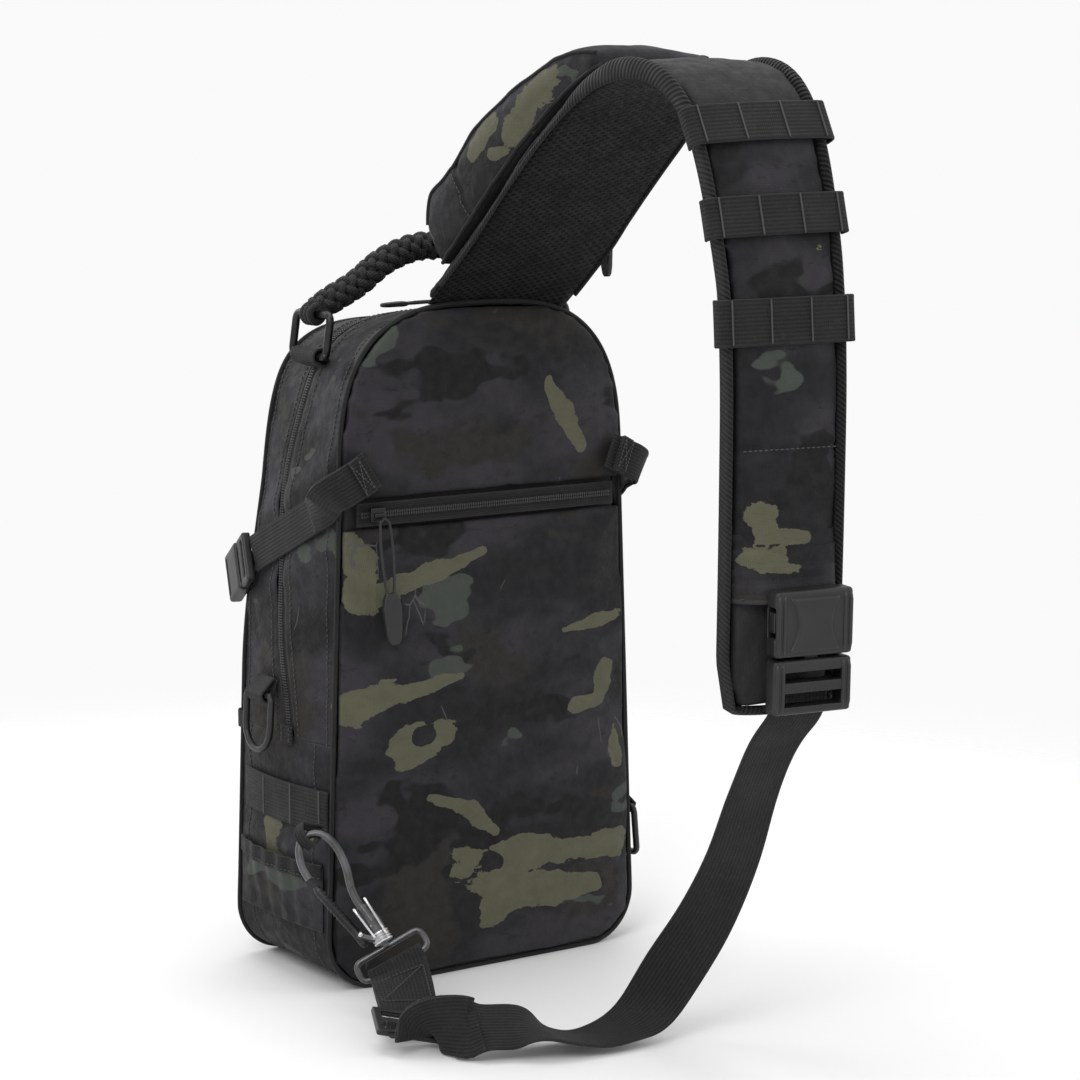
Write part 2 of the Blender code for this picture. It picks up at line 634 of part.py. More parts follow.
def pad_edge():
    """Bound edge down one side, round the end and back up the other."""
    runs = []
    sides = []
    for i in range(1, PAD_N - 1):
        _, side, out = pad_frame(i)
        at = pad_mid[i] - side * (pad_width[i] / 2) + out * 0.0056
        runs.append(at - np.array([0, 0, root_drop(i, at[0])]))
        sides.append(side)
    t, side, out = pad_frame(PAD_N - 1)
    half = pad_width[-1] / 2
    for u in (-0.93, -0.6, 0.0, 0.6, 0.93):
        runs.append(pad_mid[-1] + side * u * half + out * 0.0056 + t * (0.0035 if abs(u) < 0.8 else 0.0012))
        sides.append(t * np.sign(-1))
    for i in range(PAD_N - 2, 0, -1):
        _, side, out = pad_frame(i)
        at = pad_mid[i] + side * (pad_width[i] / 2) + out * 0.0056
        runs.append(at - np.array([0, 0, root_drop(i, at[0])]))
        sides.append(-side)
    return np.array(runs), np.array(sides)


edge_path, edge_side = pad_edge()
sweep("pad_binding", edge_path, edge_side,
      [(0.0018 * math.cos(a), 0.0062 * math.sin(a)) for a in np.linspace(0, 2 * math.pi, 8, endpoint=False)],
      "web")


def pad_wrap(name, middle, length, reach, lift, thick, kind="web"):
    """Webbing band across the pad's outer face, turned down at both edges."""
    run = np.concatenate([[0], np.cumsum(np.linalg.norm(np.diff(pad_mid, axis=0), axis=1))])
    at = run[-1] * middle
    c = np.array([np.interp(at, run, pad_mid[:, k]) for k in range(3)])
    i = int(np.argmin(np.abs(run - at)))
    t, side, out = pad_frame(i)
    half = pad_width[i] / 2 + reach
    pts = [c + side * u * half + out * v for u, v in
           ((-1, PAD_T * 0.45), (-0.985, PAD_T + lift * 0.5), (-0.9, PAD_T + lift), (-0.45, PAD_T + lift + 0.0016),
            (0, PAD_T + lift + 0.0020), (0.45, PAD_T + lift + 0.0016), (0.9, PAD_T + lift),
            (0.985, PAD_T + lift * 0.5), (1, PAD_T * 0.45))]
    return sweep(name, pts, t, section_strap(length, thick), kind)


pad_wrap("pad_band_1", 0.478, 0.0250, 0.0068, 0.0024, WEB_T)
pad_wrap("pad_band_2", 0.5600, 0.0240, 0.0088, 0.0020, WEB_T)
pad_wrap("pad_band_3", 0.6515, 0.0280, 0.0068, 0.0020, WEB_T)


def pocket_tall(f):
    """Height of the strap pocket above the pad, from its root to the crest."""
    rise = min(1.0, (f + 0.10) / 0.18) ** 0.8
    fall = max(0.0, 1 - max(0.0, f - 0.43) / 0.59) ** 0.46
    return 0.0014 + 0.0515 * rise * fall


def strap_pocket():
    """Bulging zipped pocket on the outer face of the rising part of the pad."""
    rings, voids = [], []
    first, last = 1, 15
    for i in range(first, last + 1):
        _, side, out = pad_frame(i)
        f = (i - first) / (last - first)
        tall = pocket_tall(f)
        left, right = pad_width[i] / 2 - 0.0002 - 0.0050 * f ** 3, pad_width[i] / 2 - 0.0050 - 0.0040 * f ** 3
        c = pad_mid[i] + out * (PAD_T + 0.0024)
        low = 1 - 0.22 * f
        form = [(-1, 0), (0, 0.0), (1, 0), (1, 0.70 * low), (0.94, 0.90 * low), (0.66, low), (0, 1.02), (-0.72, 1.0),
                (-0.96, 0.90), (-1, 0.70)]

        def point(u, v, inset=0.0):
            reach = u * ((left if u < 0 else right) - inset)
            return c + side * reach + out * v - (0, 0, root_drop(i, c[0] + reach))

        rings.append([point(u, v * tall) for u, v in form])
        if first < i < last - 1:
            voids.append([point(u, 0.0016 + v * (tall - 0.0036), 0.0020) for u, v in form])
    body = ring_stack("strap_pocket", rings, "camo")
    void = ring_stack("strap_pocket_void", voids, "camo", cutter=True)
    boolean(body, void)
    i = 8
    t, side, out = pad_frame(i)
    at = pad_mid[i] + side * (pad_width[i] / 2 - 0.006) + out * 0.0270
    cut = box("strap_pocket_window", at, (0.020, 0.075, 0.0046), "camo", 0.0, (side, t, out), cutter=True)
    boolean(body, cut)
    return at, t, side, out


pocket_at, pocket_t, pocket_side, pocket_out = strap_pocket()
pocket_t, pocket_side, pocket_out = pad_frame(4)
slider_at = pad_mid[4] + pocket_side * (pad_width[4] / 2 - 0.0020) + pocket_out * 0.0270
one = zip_slider("strap_pocket_slider", slider_at, pocket_t, pocket_side, length=0.0095)
drop = slider_at + pocket_side * 0.0068
pull("strap_pocket_pull", drop, (0, -0.05, -1), (0, 1, 0), 0.044, 0.0010, 0.026, 0.0110, 0.0040)

# ---------------------------------------------------------------- main buckle on the pad's end
_, bk_side, bk_out = pad_frame(PAD_N - 4)
bk_down = unit(pad_mid[-1] - pad_mid[-8])
bk_out = np.cross(bk_down, bk_side)
bk_top = np.array([0.0240, 0, 0]) * (1, 0, 0) + np.array([0, -0.3642, 0.3000])
BK_W = 0.0530


def bk(u, v, w):
    """Point in the buckle's own axes: across, down, out."""
    return bk_top + bk_side * u + bk_down * v + bk_out * w


def bk_box(name, centre, size, soft=0.0, cutter=False):
    return box(name, bk(*centre), size, "plastic", soft, (bk_side, bk_down, bk_out), cutter)


female = bk_box("buckle_female", (0, 0.0210, 0.0055), (BK_W, 0.0400, 0.0130), 0.0022)
boolean(female, bk_box("buckle_mouth", (0, 0.0280, 0.0055), (0.0450, 0.0420, 0.0086), cutter=True))
for s in (-1, 1):
    boolean(female, bk_box("buckle_side_%d" % (s + 2), (s * 0.0265, 0.0200, 0.0055), (0.0090, 0.0180, 0.0088),
                           cutter=True))
male = bk_box("buckle_male", (0, 0.0590, 0.0055), (BK_W, 0.0330, 0.0120), 0.0020)
boolean(male, bk_box("buckle_slot_1", (0, 0.0530, 0.0055), (0.0410, 0.0060, 0.0200), cutter=True))
boolean(male, bk_box("buckle_slot_2", (0, 0.0665, 0.0055), (0.0410, 0.0080, 0.0200), cutter=True))
stem = bk_box("buckle_stem", (0, 0.0300, 0.0055), (0.0090, 0.0300, 0.0060), cutter=True)
boolean(male, stem, "UNION")
for side_name, s in (("left", -1), ("right", 1)):
    arm = bk_box("buckle_arm_" + side_name, (s * 0.0158, 0.0290, 0.0055), (0.0044, 0.0250, 0.0062), 0.0012)
    arm.location = Vector(bk(s * 0.0158, 0.0290, 0.0055))
    head = bk_box("buckle_head_" + side_name, (s * 0.0212, 0.0200, 0.0055), (0.0096, 0.0120, 0.0062),
                  cutter=True)
    boolean(arm, head, "UNION")

# ---------------------------------------------------------------- lower webbing
web_ladder = bk(0, 0.0590, 0.0055)
WEB_PATH = [bk(0, 0.0605, -0.0040), bk(0, 0.0770, -0.0048), (0.0185, -0.3440, 0.2020), (0.0170, -0.3255, 0.1665),
            (0.0150, -0.3090, 0.1240), (0.0110, -0.2880, 0.0830), (0.0030, -0.2660, 0.0460),
            (-0.0120, -0.2540, 0.0170), (-0.0400, -0.2510, 0.0070), (-0.0740, -0.2440, 0.0060),
            (-0.0960, -0.2300, 0.0090), (-0.1160, -0.2220, 0.0120), (-0.1330, -0.2160, 0.0125),
            (-0.1410, -0.2050, 0.0100)]
WEB_ACROSS = [bk_side, bk_side, (1, -0.05, 0), (1, -0.1, -0.08), (0.95, -0.2, -0.18), (0.85, -0.3, -0.35),
              (0.68, -0.42, -0.55), (0.48, -0.70, -0.45), (0.25, -0.93, -0.06), (0.22, -0.95, 0.02),
              (0.28, -0.88, -0.25), (0.35, -0.80, -0.45), (0.60, -0.60, -0.50), (0.80, -0.45, -0.30)]
WEB_N = 44
web_path = spline(WEB_PATH, WEB_N)
web_across = lerp_rows(WEB_ACROSS, WEB_N)
for i in range(WEB_N):
    ahead = unit(web_path[min(i + 1, WEB_N - 1)] - web_path[max(i - 1, 0)])
    edge = unit(web_across[i] - ahead * np.dot(web_across[i], ahead))
    web_path[i, 2] = max(web_path[i, 2], MAIN_WEB / 2 * abs(edge[2]) + 0.0024)
sweep("lower_webbing", web_path, web_across, section_strap(MAIN_WEB, WEB_T * 1.2), "web")

# Tri-glide at the webbing's lower end
gl_c = np.array([-0.1370, -0.1825, 0.0128])
gl_along = unit(np.array([0.0255, 0.0590, 0.0220]))
gl_side = np.array([0.80, -0.40, -0.26])
gl_side = unit(gl_side - gl_along * np.dot(gl_side, gl_along))
gl_out = np.cross(gl_side, gl_along)
glide = box("tri_glide", gl_c, (0.0500, 0.0260, 0.0044), "plastic", 0.0012, (gl_side, gl_along, gl_out))
for k, v in ((1, -0.0058), (2, 0.0058)):
    boolean(glide, box("glide_slot_%d" % k, gl_c + gl_along * v, (0.0400, 0.0062, 0.02), "plastic", 0.0,
                       (gl_side, gl_along, gl_out), cutter=True))

# ---------------------------------------------------------------- snap hook
EYE = np.array([-0.1115, -0.1230, 0.0360])
TIP_UP = unit(np.array([-0.0240, 0.0510, 0.0780]))
hook_face = unit(np.cross(TIP_UP, (0.82, -0.57, 0.0)))
hook_w = np.cross(hook_face, TIP_UP)


def hk(u, v, w=0.0):
    """Point in the hook's own axes: along it from the eye, sideways, out of its plane."""
    return EYE + TIP_UP * u * 1.06 + hook_w * v + hook_face * w


tab_low = gl_c + gl_along * 0.0165
tab_high = hk(-0.0088, 0)
tab_pts = spline([tab_high, (tab_high + tab_low) / 2 + (0, 0, 0.0010), tab_low], 7)
tab_side = [unit(hook_w * (1 - f) + gl_side * f) for f in np.linspace(0, 1, 7)]
sweep("hook_tab", tab_pts, tab_side, section_strap(MAIN_WEB, 0.0042), "web")
eye = wire_ring("hook_eye", hk(0.0040, 0), 0.0240, 0.0066, hook_w, TIP_UP, 0.0021, "metal", origin=hk(0.014, 0))
post = sweep("hook_post", [hk(0.0100, 0), hk(0.0220, 0)], hook_w, section_round(0.0026, 10), "metal", cutter=True)
boolean(eye, post, "UNION")
body_path = spline([hk(0.0330, -0.0010), hk(0.0420, -0.0018), hk(0.0520, -0.0010), hk(0.0650, 0.0030),
                    hk(0.0790, 0.0040), hk(0.0890, 0.0002), hk(0.0930, -0.0080), hk(0.0900, -0.0160),
                    hk(0.0800, -0.0210), hk(0.0690, -0.0215)], 26)
hook = sweep("hook_body", body_path, hook_face, section_round(0.0028, 8), "metal", origin=hk(0.014, 0))
collar = sweep("hook_collar", [hk(0.0160, 0), hk(0.0220, 0), hk(0.0280, 0), hk(0.0390, -0.0014)], hook_face,
               [section_round(r, 12) for r in (0.0056, 0.0062, 0.0062, 0.0052)], "metal", cutter=True)
boolean(hook, collar, "UNION")
bore = sweep("hook_bore", [hk(0.0100, 0), hk(0.0226, 0)], hook_w, section_round(0.0030, 12), "metal", cutter=True)
boolean(hook, bore)
GATE_AT = hk(0.0240, -0.0105)
gate_path = [hk(0.0165, -0.0116), hk(0.0250, -0.0124), hk(0.0400, -0.0158), hk(0.0540, -0.0188), hk(0.0630, -0.0206)]
gate = sweep("hook_gate", gate_path, hook_face, [section_round(r, 8) for r in (0.0022, 0.0030, 0.0030, 0.0028, 0.0022)],
             "metal", origin=tuple(GATE_AT))

# Small webbing loop sewn into the back seam that the hook is clipped to
loop_bar = hk(0.0930, -0.0080)
anchor_way = unit(loop_bar - np.array([-0.1235, -0.0590, 0.1120]))
anchor_side = hook_w - anchor_way * np.dot(hook_w, anchor_way)
loop_strap("hook_anchor", loop_bar, anchor_way, anchor_side, 0.0064, 0.0076, 0.0140)


# ---------------------------------------------------------------- compression straps
def compression(side_name, s):
    """25 mm webbing from the back seam round the gusset to a buckle at the front corner."""
    y_list = np.linspace(-0.0500, 0.0400, 7)
    pts = [(s * 0.0950, -0.0722, 0.3470), (s * 0.1070, -0.0724, 0.3405)]
    pts += [(s * 0.1184, -0.0718, 0.3350), (s * 0.1222, -0.0630, 0.3300)]
    for y in y_list:
        z = 0.3245 - (y + 0.0570) * 0.46
        lift = 0.0026 + max(0.0, y) * 0.12 + max(0.0, -0.03 - y) * 0.20
        pts.append((gusset_x(y, z, s) + s * lift, y, z))
    path = spline(pts, 22)
    across = []
    for i in range(22):
        t = unit(path[min(i + 1, 21)] - path[max(i - 1, 0)])
        out = np.array([s * 1.0, 0, 0]) if path[i][1] > -0.05 else np.array([s * 0.4, -1.0, 0])
        across.append(np.cross(t, out))
    across = np.array(across)
    for _ in range(3):
        across[1:-1] = (across[:-2] + across[1:-1] * 2 + across[2:]) / 4
    sweep("comp_strap_" + side_name, path, across, section_strap(SIDE_WEB, WEB_T), "web")
    end = path[-1]
    along = unit(np.array([-s * 0.20, 0.84, -0.50]))
    out = unit(np.array([s * 0.95, 0.30, 0]))
    side = unit(np.cross(along, out))
    out = np.cross(side, along)
    if np.dot(out, (s, 0, 0)) < 0:
        out = -out
    axes = (side, along, out)

    def at(v, w, u=0.0):
        return end + along * v + out * w + side * u

    male_c = box("comp_male_" + side_name, at(0.0100, 0.0032), (0.0340, 0.0160, 0.0060), "plastic", 0.0012, axes)
    boolean(male_c, box("comp_slot_" + side_name, at(0.0080, 0.0032), (0.0260, 0.0048, 0.0150), "plastic", 0.0,
                        axes, cutter=True))
    prong = box("comp_prong_" + side_name, at(0.0240, 0.0032), (0.0180, 0.0180, 0.0034), "plastic", 0.0, axes,
                cutter=True)
    boolean(male_c, prong, "UNION")
    female_c = box("comp_female_" + side_name, at(0.0330, 0.0032), (0.0340, 0.0280, 0.0090), "plastic", 0.0020, axes)
    boolean(female_c, box("comp_mouth_" + side_name, at(0.0240, 0.0032), (0.0260, 0.0220, 0.0048), "plastic", 0.0,
                          axes, cutter=True))
    boolean(female_c, box("comp_bar_" + side_name, at(0.0425, 0.0032), (0.0260, 0.0040, 0.0200), "plastic", 0.0,
                          axes, cutter=True))
    start = at(0.0490, 0.0032)
    web = [tuple(start), tuple(start + along * 0.005), (s * 0.1050, 0.0870, start[2] - 0.0060),
           (s * 0.0930, 0.0770, start[2] - 0.0100), (s * 0.0850, 0.0664, start[2] - 0.0130),
           (s * 0.0770, 0.0650, start[2] - 0.0150)]
    wp = spline(web, 10)
    ac = [side] * 2 + [unit(side * (1 - f) + np.array([0.15 * s, 0, -1.0]) * np.sign(-side[2]) * -1 * f)
                       for f in np.linspace(0.3, 1, 8)]
    sweep("comp_tab_" + side_name, wp, np.array(ac), section_strap(SIDE_WEB, WEB_T), "web")


compression("left", -1)
compression("right", 1)
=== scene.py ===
"""Looks of the sling bag: camouflage fabric, webbing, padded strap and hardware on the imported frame."""

import json
import math

import bmesh
import bpy
import numpy as np
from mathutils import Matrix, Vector, noise
from mathutils.bvhtree import BVHTree

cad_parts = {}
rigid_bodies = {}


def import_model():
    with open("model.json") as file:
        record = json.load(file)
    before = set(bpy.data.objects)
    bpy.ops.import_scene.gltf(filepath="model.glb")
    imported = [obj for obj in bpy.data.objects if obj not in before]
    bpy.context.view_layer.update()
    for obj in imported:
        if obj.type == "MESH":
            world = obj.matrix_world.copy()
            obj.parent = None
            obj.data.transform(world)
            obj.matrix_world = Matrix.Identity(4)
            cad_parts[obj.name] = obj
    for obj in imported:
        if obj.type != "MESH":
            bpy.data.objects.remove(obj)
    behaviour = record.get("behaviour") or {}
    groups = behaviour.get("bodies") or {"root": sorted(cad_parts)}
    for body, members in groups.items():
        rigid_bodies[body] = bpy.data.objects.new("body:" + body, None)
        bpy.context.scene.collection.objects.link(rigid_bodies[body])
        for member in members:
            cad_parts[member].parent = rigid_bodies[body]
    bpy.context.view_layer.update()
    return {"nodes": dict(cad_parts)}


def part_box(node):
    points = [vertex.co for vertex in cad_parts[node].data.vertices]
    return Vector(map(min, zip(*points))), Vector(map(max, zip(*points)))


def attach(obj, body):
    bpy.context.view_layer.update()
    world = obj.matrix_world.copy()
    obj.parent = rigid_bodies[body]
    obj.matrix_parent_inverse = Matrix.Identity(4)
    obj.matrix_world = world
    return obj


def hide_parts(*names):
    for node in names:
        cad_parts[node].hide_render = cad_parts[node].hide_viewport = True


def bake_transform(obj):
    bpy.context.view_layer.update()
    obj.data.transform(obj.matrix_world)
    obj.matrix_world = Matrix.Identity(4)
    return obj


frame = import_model()
SCENE = bpy.context.scene

# ---------------------------------------------------------------- camera, floor and light
CAMERA_AT = Vector((-1.146, -1.762, 0.598))
CAMERA_LOOK = Vector((0.5673, 0.8102, -0.1478))

camera = bpy.data.objects.new("camera", bpy.data.cameras.new("camera"))
camera.data.lens = 104
camera.data.sensor_width = 36
camera.location = CAMERA_AT
camera.rotation_euler = CAMERA_LOOK.to_track_quat("-Z", "Y").to_euler()
SCENE.collection.objects.link(camera)
SCENE.camera = camera


def area_light(name, at, target, size, power):
    data = bpy.data.lights.new(name, "AREA")
    data.size = size
    data.energy = power
    light = bpy.data.objects.new(name, data)
    light.location = at
    light.rotation_euler = (Vector(target) - Vector(at)).to_track_quat("-Z", "Y").to_euler()
    SCENE.collection.objects.link(light)


area_light("key", (-2.2, -1.6, 2.4), (0, -0.1, 0.2), 1.4, 42)
area_light("fill", (2.4, -2.2, 1.6), (0, -0.1, 0.25), 2.0, 12)
area_light("top", (0.1, 0.4, 2.8), (0, 0, 0.2), 1.8, 30)
area_light("rim", (-0.6, 2.4, 1.4), (0, 0, 0.25), 1.4, 14)

world = bpy.data.worlds.new("studio")
world.use_nodes = True
world.node_tree.nodes["Background"].inputs["Color"].default_value = (0.955, 0.955, 0.955, 1.0)
world.node_tree.nodes["Background"].inputs["Strength"].default_value = 1.0
SCENE.world = world
SCENE.view_settings.view_transform = "Standard"


# ---------------------------------------------------------------- shader helpers
class Shader:
    """A material with short calls for adding and linking its nodes."""

    def __init__(self, name):
        self.mat = bpy.data.materials.new(name)
        self.mat.use_nodes = True
        self.tree = self.mat.node_tree
        self.bsdf = self.tree.nodes["Principled BSDF"]

    def put(self, socket, value):
        if isinstance(value, bpy.types.NodeSocket):
            self.tree.links.new(value, socket)
        elif hasattr(value, "__len__") and len(value) == 3 and socket.type == "RGBA":
            socket.default_value = (*value, 1.0)
        else:
            socket.default_value = value

    def node(self, kind, settings=(), **inputs):
        made = self.tree.nodes.new("ShaderNode" + kind)
        for key, value in dict(settings).items():
            setattr(made, key, value)
        for key, value in inputs.items():
            self.put(made.inputs[key], value)
        return made

    def math(self, operation, a, b=0.0):
        made = self.node("Math", {"operation": operation})
        self.put(made.inputs[0], a)
        self.put(made.inputs[1], b)
        return made.outputs[0]

    def vector(self, operation, a, b):
        made = self.node("VectorMath", {"operation": operation})
        self.put(made.inputs[0], a)
        self.put(made.inputs[3 if operation == "SCALE" else 1], b)
        return made.outputs[0]

    def objects(self):
        return self.node("TexCoord").outputs["Object"]

    def weave_axes(self):
        """Metres along and across a strip, kept on its mesh."""
        split = self.node("SeparateXYZ")
        self.put(split.inputs[0], self.node("Attribute", {"attribute_name": "weave"}).outputs["Vector"])
        return split.outputs[0], split.outputs[1]

    def noise(self, at, scale, detail=3.0, rough=0.55, distortion=0.0):
        return self.node("TexNoise", Vector=at, Scale=scale, Detail=detail, Roughness=rough,
                         Distortion=distortion).outputs["Fac"]

    def ramp(self, value, low, high, to_low=0.0, to_high=1.0):
        made = self.node("MapRange", {"interpolation_type": "SMOOTHSTEP"})
        for socket, given in zip(made.inputs, (value, low, high, to_low, to_high)):
            self.put(socket, given)
        return made.outputs[0]

    def mix(self, share, a, b):
        made = self.node("Mix", {"data_type": "RGBA"})
        self.put(made.inputs[0], share)
        self.put(made.inputs[6], a)
        self.put(made.inputs[7], b)
        return made.outputs[2]

    def bump(self, height, distance, strength=1.0, under=None):
        made = self.node("Bump", Strength=strength, Distance=distance, Height=height)
        if under is not None:
            self.put(made.inputs["Normal"], under)
        return made.outputs[0]

    def finish(self, colour, roughness, normal, metallic=0.0, sheen=0.0, specular=0.5):
        self.put(self.bsdf.inputs["Base Color"], colour)
        self.put(self.bsdf.inputs["Roughness"], roughness)
        self.put(self.bsdf.inputs["Metallic"], metallic)
        self.put(self.bsdf.inputs["Specular IOR Level"], specular)
        self.put(self.bsdf.inputs["Sheen Weight"], sheen)
        if normal is not None:
            self.put(self.bsdf.inputs["Normal"], normal)
        return self.mat


def wave(shader, value, pitch):
    """A wave from 0 to 1 with one crest every pitch."""
    turn = shader.math("MULTIPLY", value, 2 * math.pi / pitch)
    half = shader.math("MULTIPLY", shader.math("SINE", turn), 0.5)
    return shader.math("ADD", half, 0.5)


def edge_wear_and_highlight(shader, colour, light, amount=0.5):
    """Lighter along convex edges: worn edges on fabric and metal, a painted edge highlight on moulded plastic."""
    edge = shader.ramp(shader.node("NewGeometry").outputs["Pointiness"], 0.53, 0.62)
    return shader.mix(shader.math("MULTIPLY", edge, amount), colour, light)


def camo_material(name, dim=1.0, plain=False):
    s = Shader(name)
    at = s.objects()
    drift = s.node("TexNoise", Vector=at, Scale=20.0, Detail=3.0).outputs["Color"]
    bent = s.vector("ADD", at, s.vector("SCALE", drift, 0.018))
    bent = s.vector("MULTIPLY", bent, (1.0, 1.0, 1.9))

    # dim scales every tone; below 1 it paints shade over the whole piece.
    def tone(r, g, b):
        return (r * dim, g * dim, b * dim)

    def shifted(*by):
        return s.vector("ADD", bent, by)

    ground = s.mix(s.ramp(s.noise(bent, 8.0), 0.44, 0.62), tone(0.0085, 0.0085, 0.0100),
                   tone(0.0270, 0.0245, 0.0300))
    brown = s.ramp(s.noise(shifted(3.1, 1.7, 0.4), 9.0), 0.56, 0.62)
    ground = s.mix(brown, ground, tone(0.0185, 0.0165, 0.0150))
    black = s.ramp(s.noise(shifted(5.5, 6.2, 1.4), 11.0), 0.57, 0.60)
    ground = s.mix(black, ground, tone(0.0050, 0.0050, 0.0058))
    mottle = s.noise(shifted(1.0, 5.0, 2.0), 90.0, 5.0, 0.7)
    ground = s.mix(s.ramp(mottle, 0.56, 0.66, 0.0, 0.6), ground, tone(0.0060, 0.0060, 0.0066))
    grey = s.ramp(s.noise(shifted(7.3, 0.2, 4.4), 12.0, 3.0), 0.650, 0.665)
    ground = s.mix(grey, ground, tone(0.046, 0.053, 0.046))
    patch = s.node("Attribute", {"attribute_name": "patch"}).outputs["Fac"]
    field = s.noise(shifted(0.35, 2.2, 8.15), 30.0, 2.0, 0.5)
    field = s.math("ADD", field, s.math("MULTIPLY", s.math("SUBTRACT", patch, 0.40), 0.52))
    field = s.math("ADD", field, s.math("MULTIPLY", s.noise(bent, 260.0, 2.0, 0.6), 0.16))
    olive = s.ramp(field, 0.655, 0.668)
    green = s.mix(s.noise(shifted(2.0, 2.0, 2.0), 60.0, 4.0), tone(0.070, 0.069, 0.044),
                  tone(0.108, 0.106, 0.068))
    ground = s.mix(olive, ground, green)
    twig_at = s.vector("MULTIPLY", bent, (1.0, 1.0, 0.25))
    cells = s.node("TexVoronoi", {"feature": "DISTANCE_TO_EDGE"}, Vector=twig_at, Scale=40.0)
    twig = cells.outputs["Distance"]
    thin = s.math("SUBTRACT", 1.0, s.ramp(twig, 0.008, 0.020))
    rare = s.ramp(s.noise(s.vector("ADD", at, (9.0, 1.0, 3.0)), 22.0, 1.0), 0.70, 0.73)
    ground = s.mix(s.math("MULTIPLY", thin, rare), ground, tone(0.070, 0.070, 0.069))
    if plain:
        ground = s.mix(s.noise(bent, 30.0, 4.0), tone(0.0150, 0.0150, 0.0155), tone(0.0240, 0.0240, 0.0245))

    split = s.node("SeparateXYZ")
    s.put(split.inputs[0], at)
    across = wave(s, s.math("ADD", split.outputs[0], split.outputs[1]), 0.00085)
    up = wave(s, split.outputs[2], 0.00085)
    thread = s.math("MULTIPLY", across, up)
    crease = s.noise(at, 70.0, 4.0, 0.6, 0.6)
    normal = s.bump(thread, 0.0004, 0.35, s.bump(crease, 0.006, 0.28))
    # Darker between the threads and lighter on them: painted shade and highlight on the weave.
    shade = s.ramp(thread, 0.0, 1.0, 0.82, 1.10)
    tint = s.node("HueSaturation", Value=shade, Color=ground).outputs[0]
    tint = edge_wear_and_highlight(s, tint, tone(0.07, 0.07, 0.07), 0.30)
    rough = s.ramp(s.noise(at, 130.0, 3.0), 0.3, 0.7, 0.62, 0.82)
    return s.finish(tint, rough, normal, sheen=0.02, specular=0.22)


def webbing_material(name, tone=0.0105, rib=0.0024, pick=0.0015):
    s = Shader(name)
    along, across = s.weave_axes()
    ribs = wave(s, across, rib)
    slant = s.math("ADD", along, s.math("MULTIPLY", s.math("SUBTRACT", ribs, 0.5), pick))
    picks = wave(s, slant, pick)
    height = s.math("ADD", s.math("MULTIPLY", ribs, 0.6), s.math("MULTIPLY", picks, 0.5))
    at = s.objects()
    fuzz = s.noise(at, 420.0, 3.0, 0.7)
    soft = s.noise(at, 45.0, 3.0)
    # Darker in the weave's grooves and lighter on its ribs: painted shade and highlight.
    colour = s.mix(s.ramp(height, 0.2, 1.0), (tone * 0.45,) * 3, (tone * 1.55, tone * 1.55, tone * 1.65))
    colour = s.mix(s.ramp(fuzz, 0.55, 0.72, 0.0, 0.35), colour, (tone * 3.2,) * 3)
    colour = edge_wear_and_highlight(s, colour, (tone * 4.2,) * 3, 0.5)
    normal = s.bump(height, 0.0006, 0.8, s.bump(soft, 0.004, 0.2))
    return s.finish(colour, s.ramp(soft, 0.3, 0.7, 0.62, 0.80), normal, sheen=0.03, specular=0.22)


def mesh_material(name):
    """Spacer mesh: rows of small open cells, each row set half a cell over."""
    s = Shader(name)
    along, across = s.weave_axes()
    a = wave(s, s.math("ADD", along, s.math("MULTIPLY", across, 0.62)), 0.0048)
    b = wave(s, s.math("SUBTRACT", along, s.math("MULTIPLY", across, 0.62)), 0.0048)
    cell = s.math("MULTIPLY", a, b)
    rim = s.ramp(cell, 0.16, 0.38)
    at = s.objects()
    patch = s.noise(at, 60.0, 3.0)
    net = s.mix(s.ramp(patch, 0.35, 0.65), (0.0060, 0.0060, 0.0068), (0.0125, 0.0125, 0.0140))
    # The open cells are painted almost black: painted shade in the holes.
    colour = s.mix(rim, net, (0.0006, 0.0006, 0.0010))
    normal = s.bump(s.math("SUBTRACT", 1.0, rim), 0.0014, 0.9, s.bump(patch, 0.004, 0.25))
    return s.finish(colour, s.ramp(s.noise(at, 300.0), 0.3, 0.7, 0.55, 0.75), normal, specular=0.10)


def rope_material(name):
    """Woven binding with slanted ribs, like a rope."""
    s = Shader(name)
    along, across = s.weave_axes()
    slant = s.math("ADD", along, s.math("MULTIPLY", across, 0.55))
    ribs = wave(s, slant, 0.0031)
    fine = wave(s, s.math("SUBTRACT", along, across), 0.0011)
    height = s.math("ADD", ribs, s.math("MULTIPLY", fine, 0.25))
    at = s.objects()
    soft = s.noise(at, 80.0, 3.0)
    # Darker in the grooves between the ribs and lighter on the ribs: painted shade and highlight.
    colour = s.mix(s.ramp(height, 0.1, 1.1), (0.0035, 0.0035, 0.0040), (0.0190, 0.0190, 0.0205))
    colour = edge_wear_and_highlight(s, colour, (0.050, 0.050, 0.052), 0.4)
    normal = s.bump(height, 0.0012, 0.9)
    return s.finish(colour, s.ramp(soft, 0.3, 0.7, 0.55, 0.75), normal, sheen=0.03, specular=0.22)


def cord_material(name):
    s = Shader(name)
    along, round_it = s.weave_axes()
    left = wave(s, s.math("ADD", along, round_it), 0.0016)
    right = wave(s, s.math("SUBTRACT", along, round_it), 0.0016)
    height = s.math("MAXIMUM", left, right)
    at = s.objects()
    soft = s.noise(at, 240.0, 3.0)
    # Darker where the strands part and lighter on their crowns: painted shade and highlight.
    colour = s.mix(s.ramp(height, 0.3, 1.0), (0.0030, 0.0030, 0.0035), (0.0170, 0.0170, 0.0180))
    colour = s.mix(s.ramp(soft, 0.56, 0.70, 0.0, 0.5), colour, (0.034, 0.034, 0.035))
    normal = s.bump(height, 0.0005, 0.8)
    return s.finish(colour, s.ramp(soft, 0.3, 0.7, 0.5, 0.72), normal, sheen=0.04, specular=0.22)


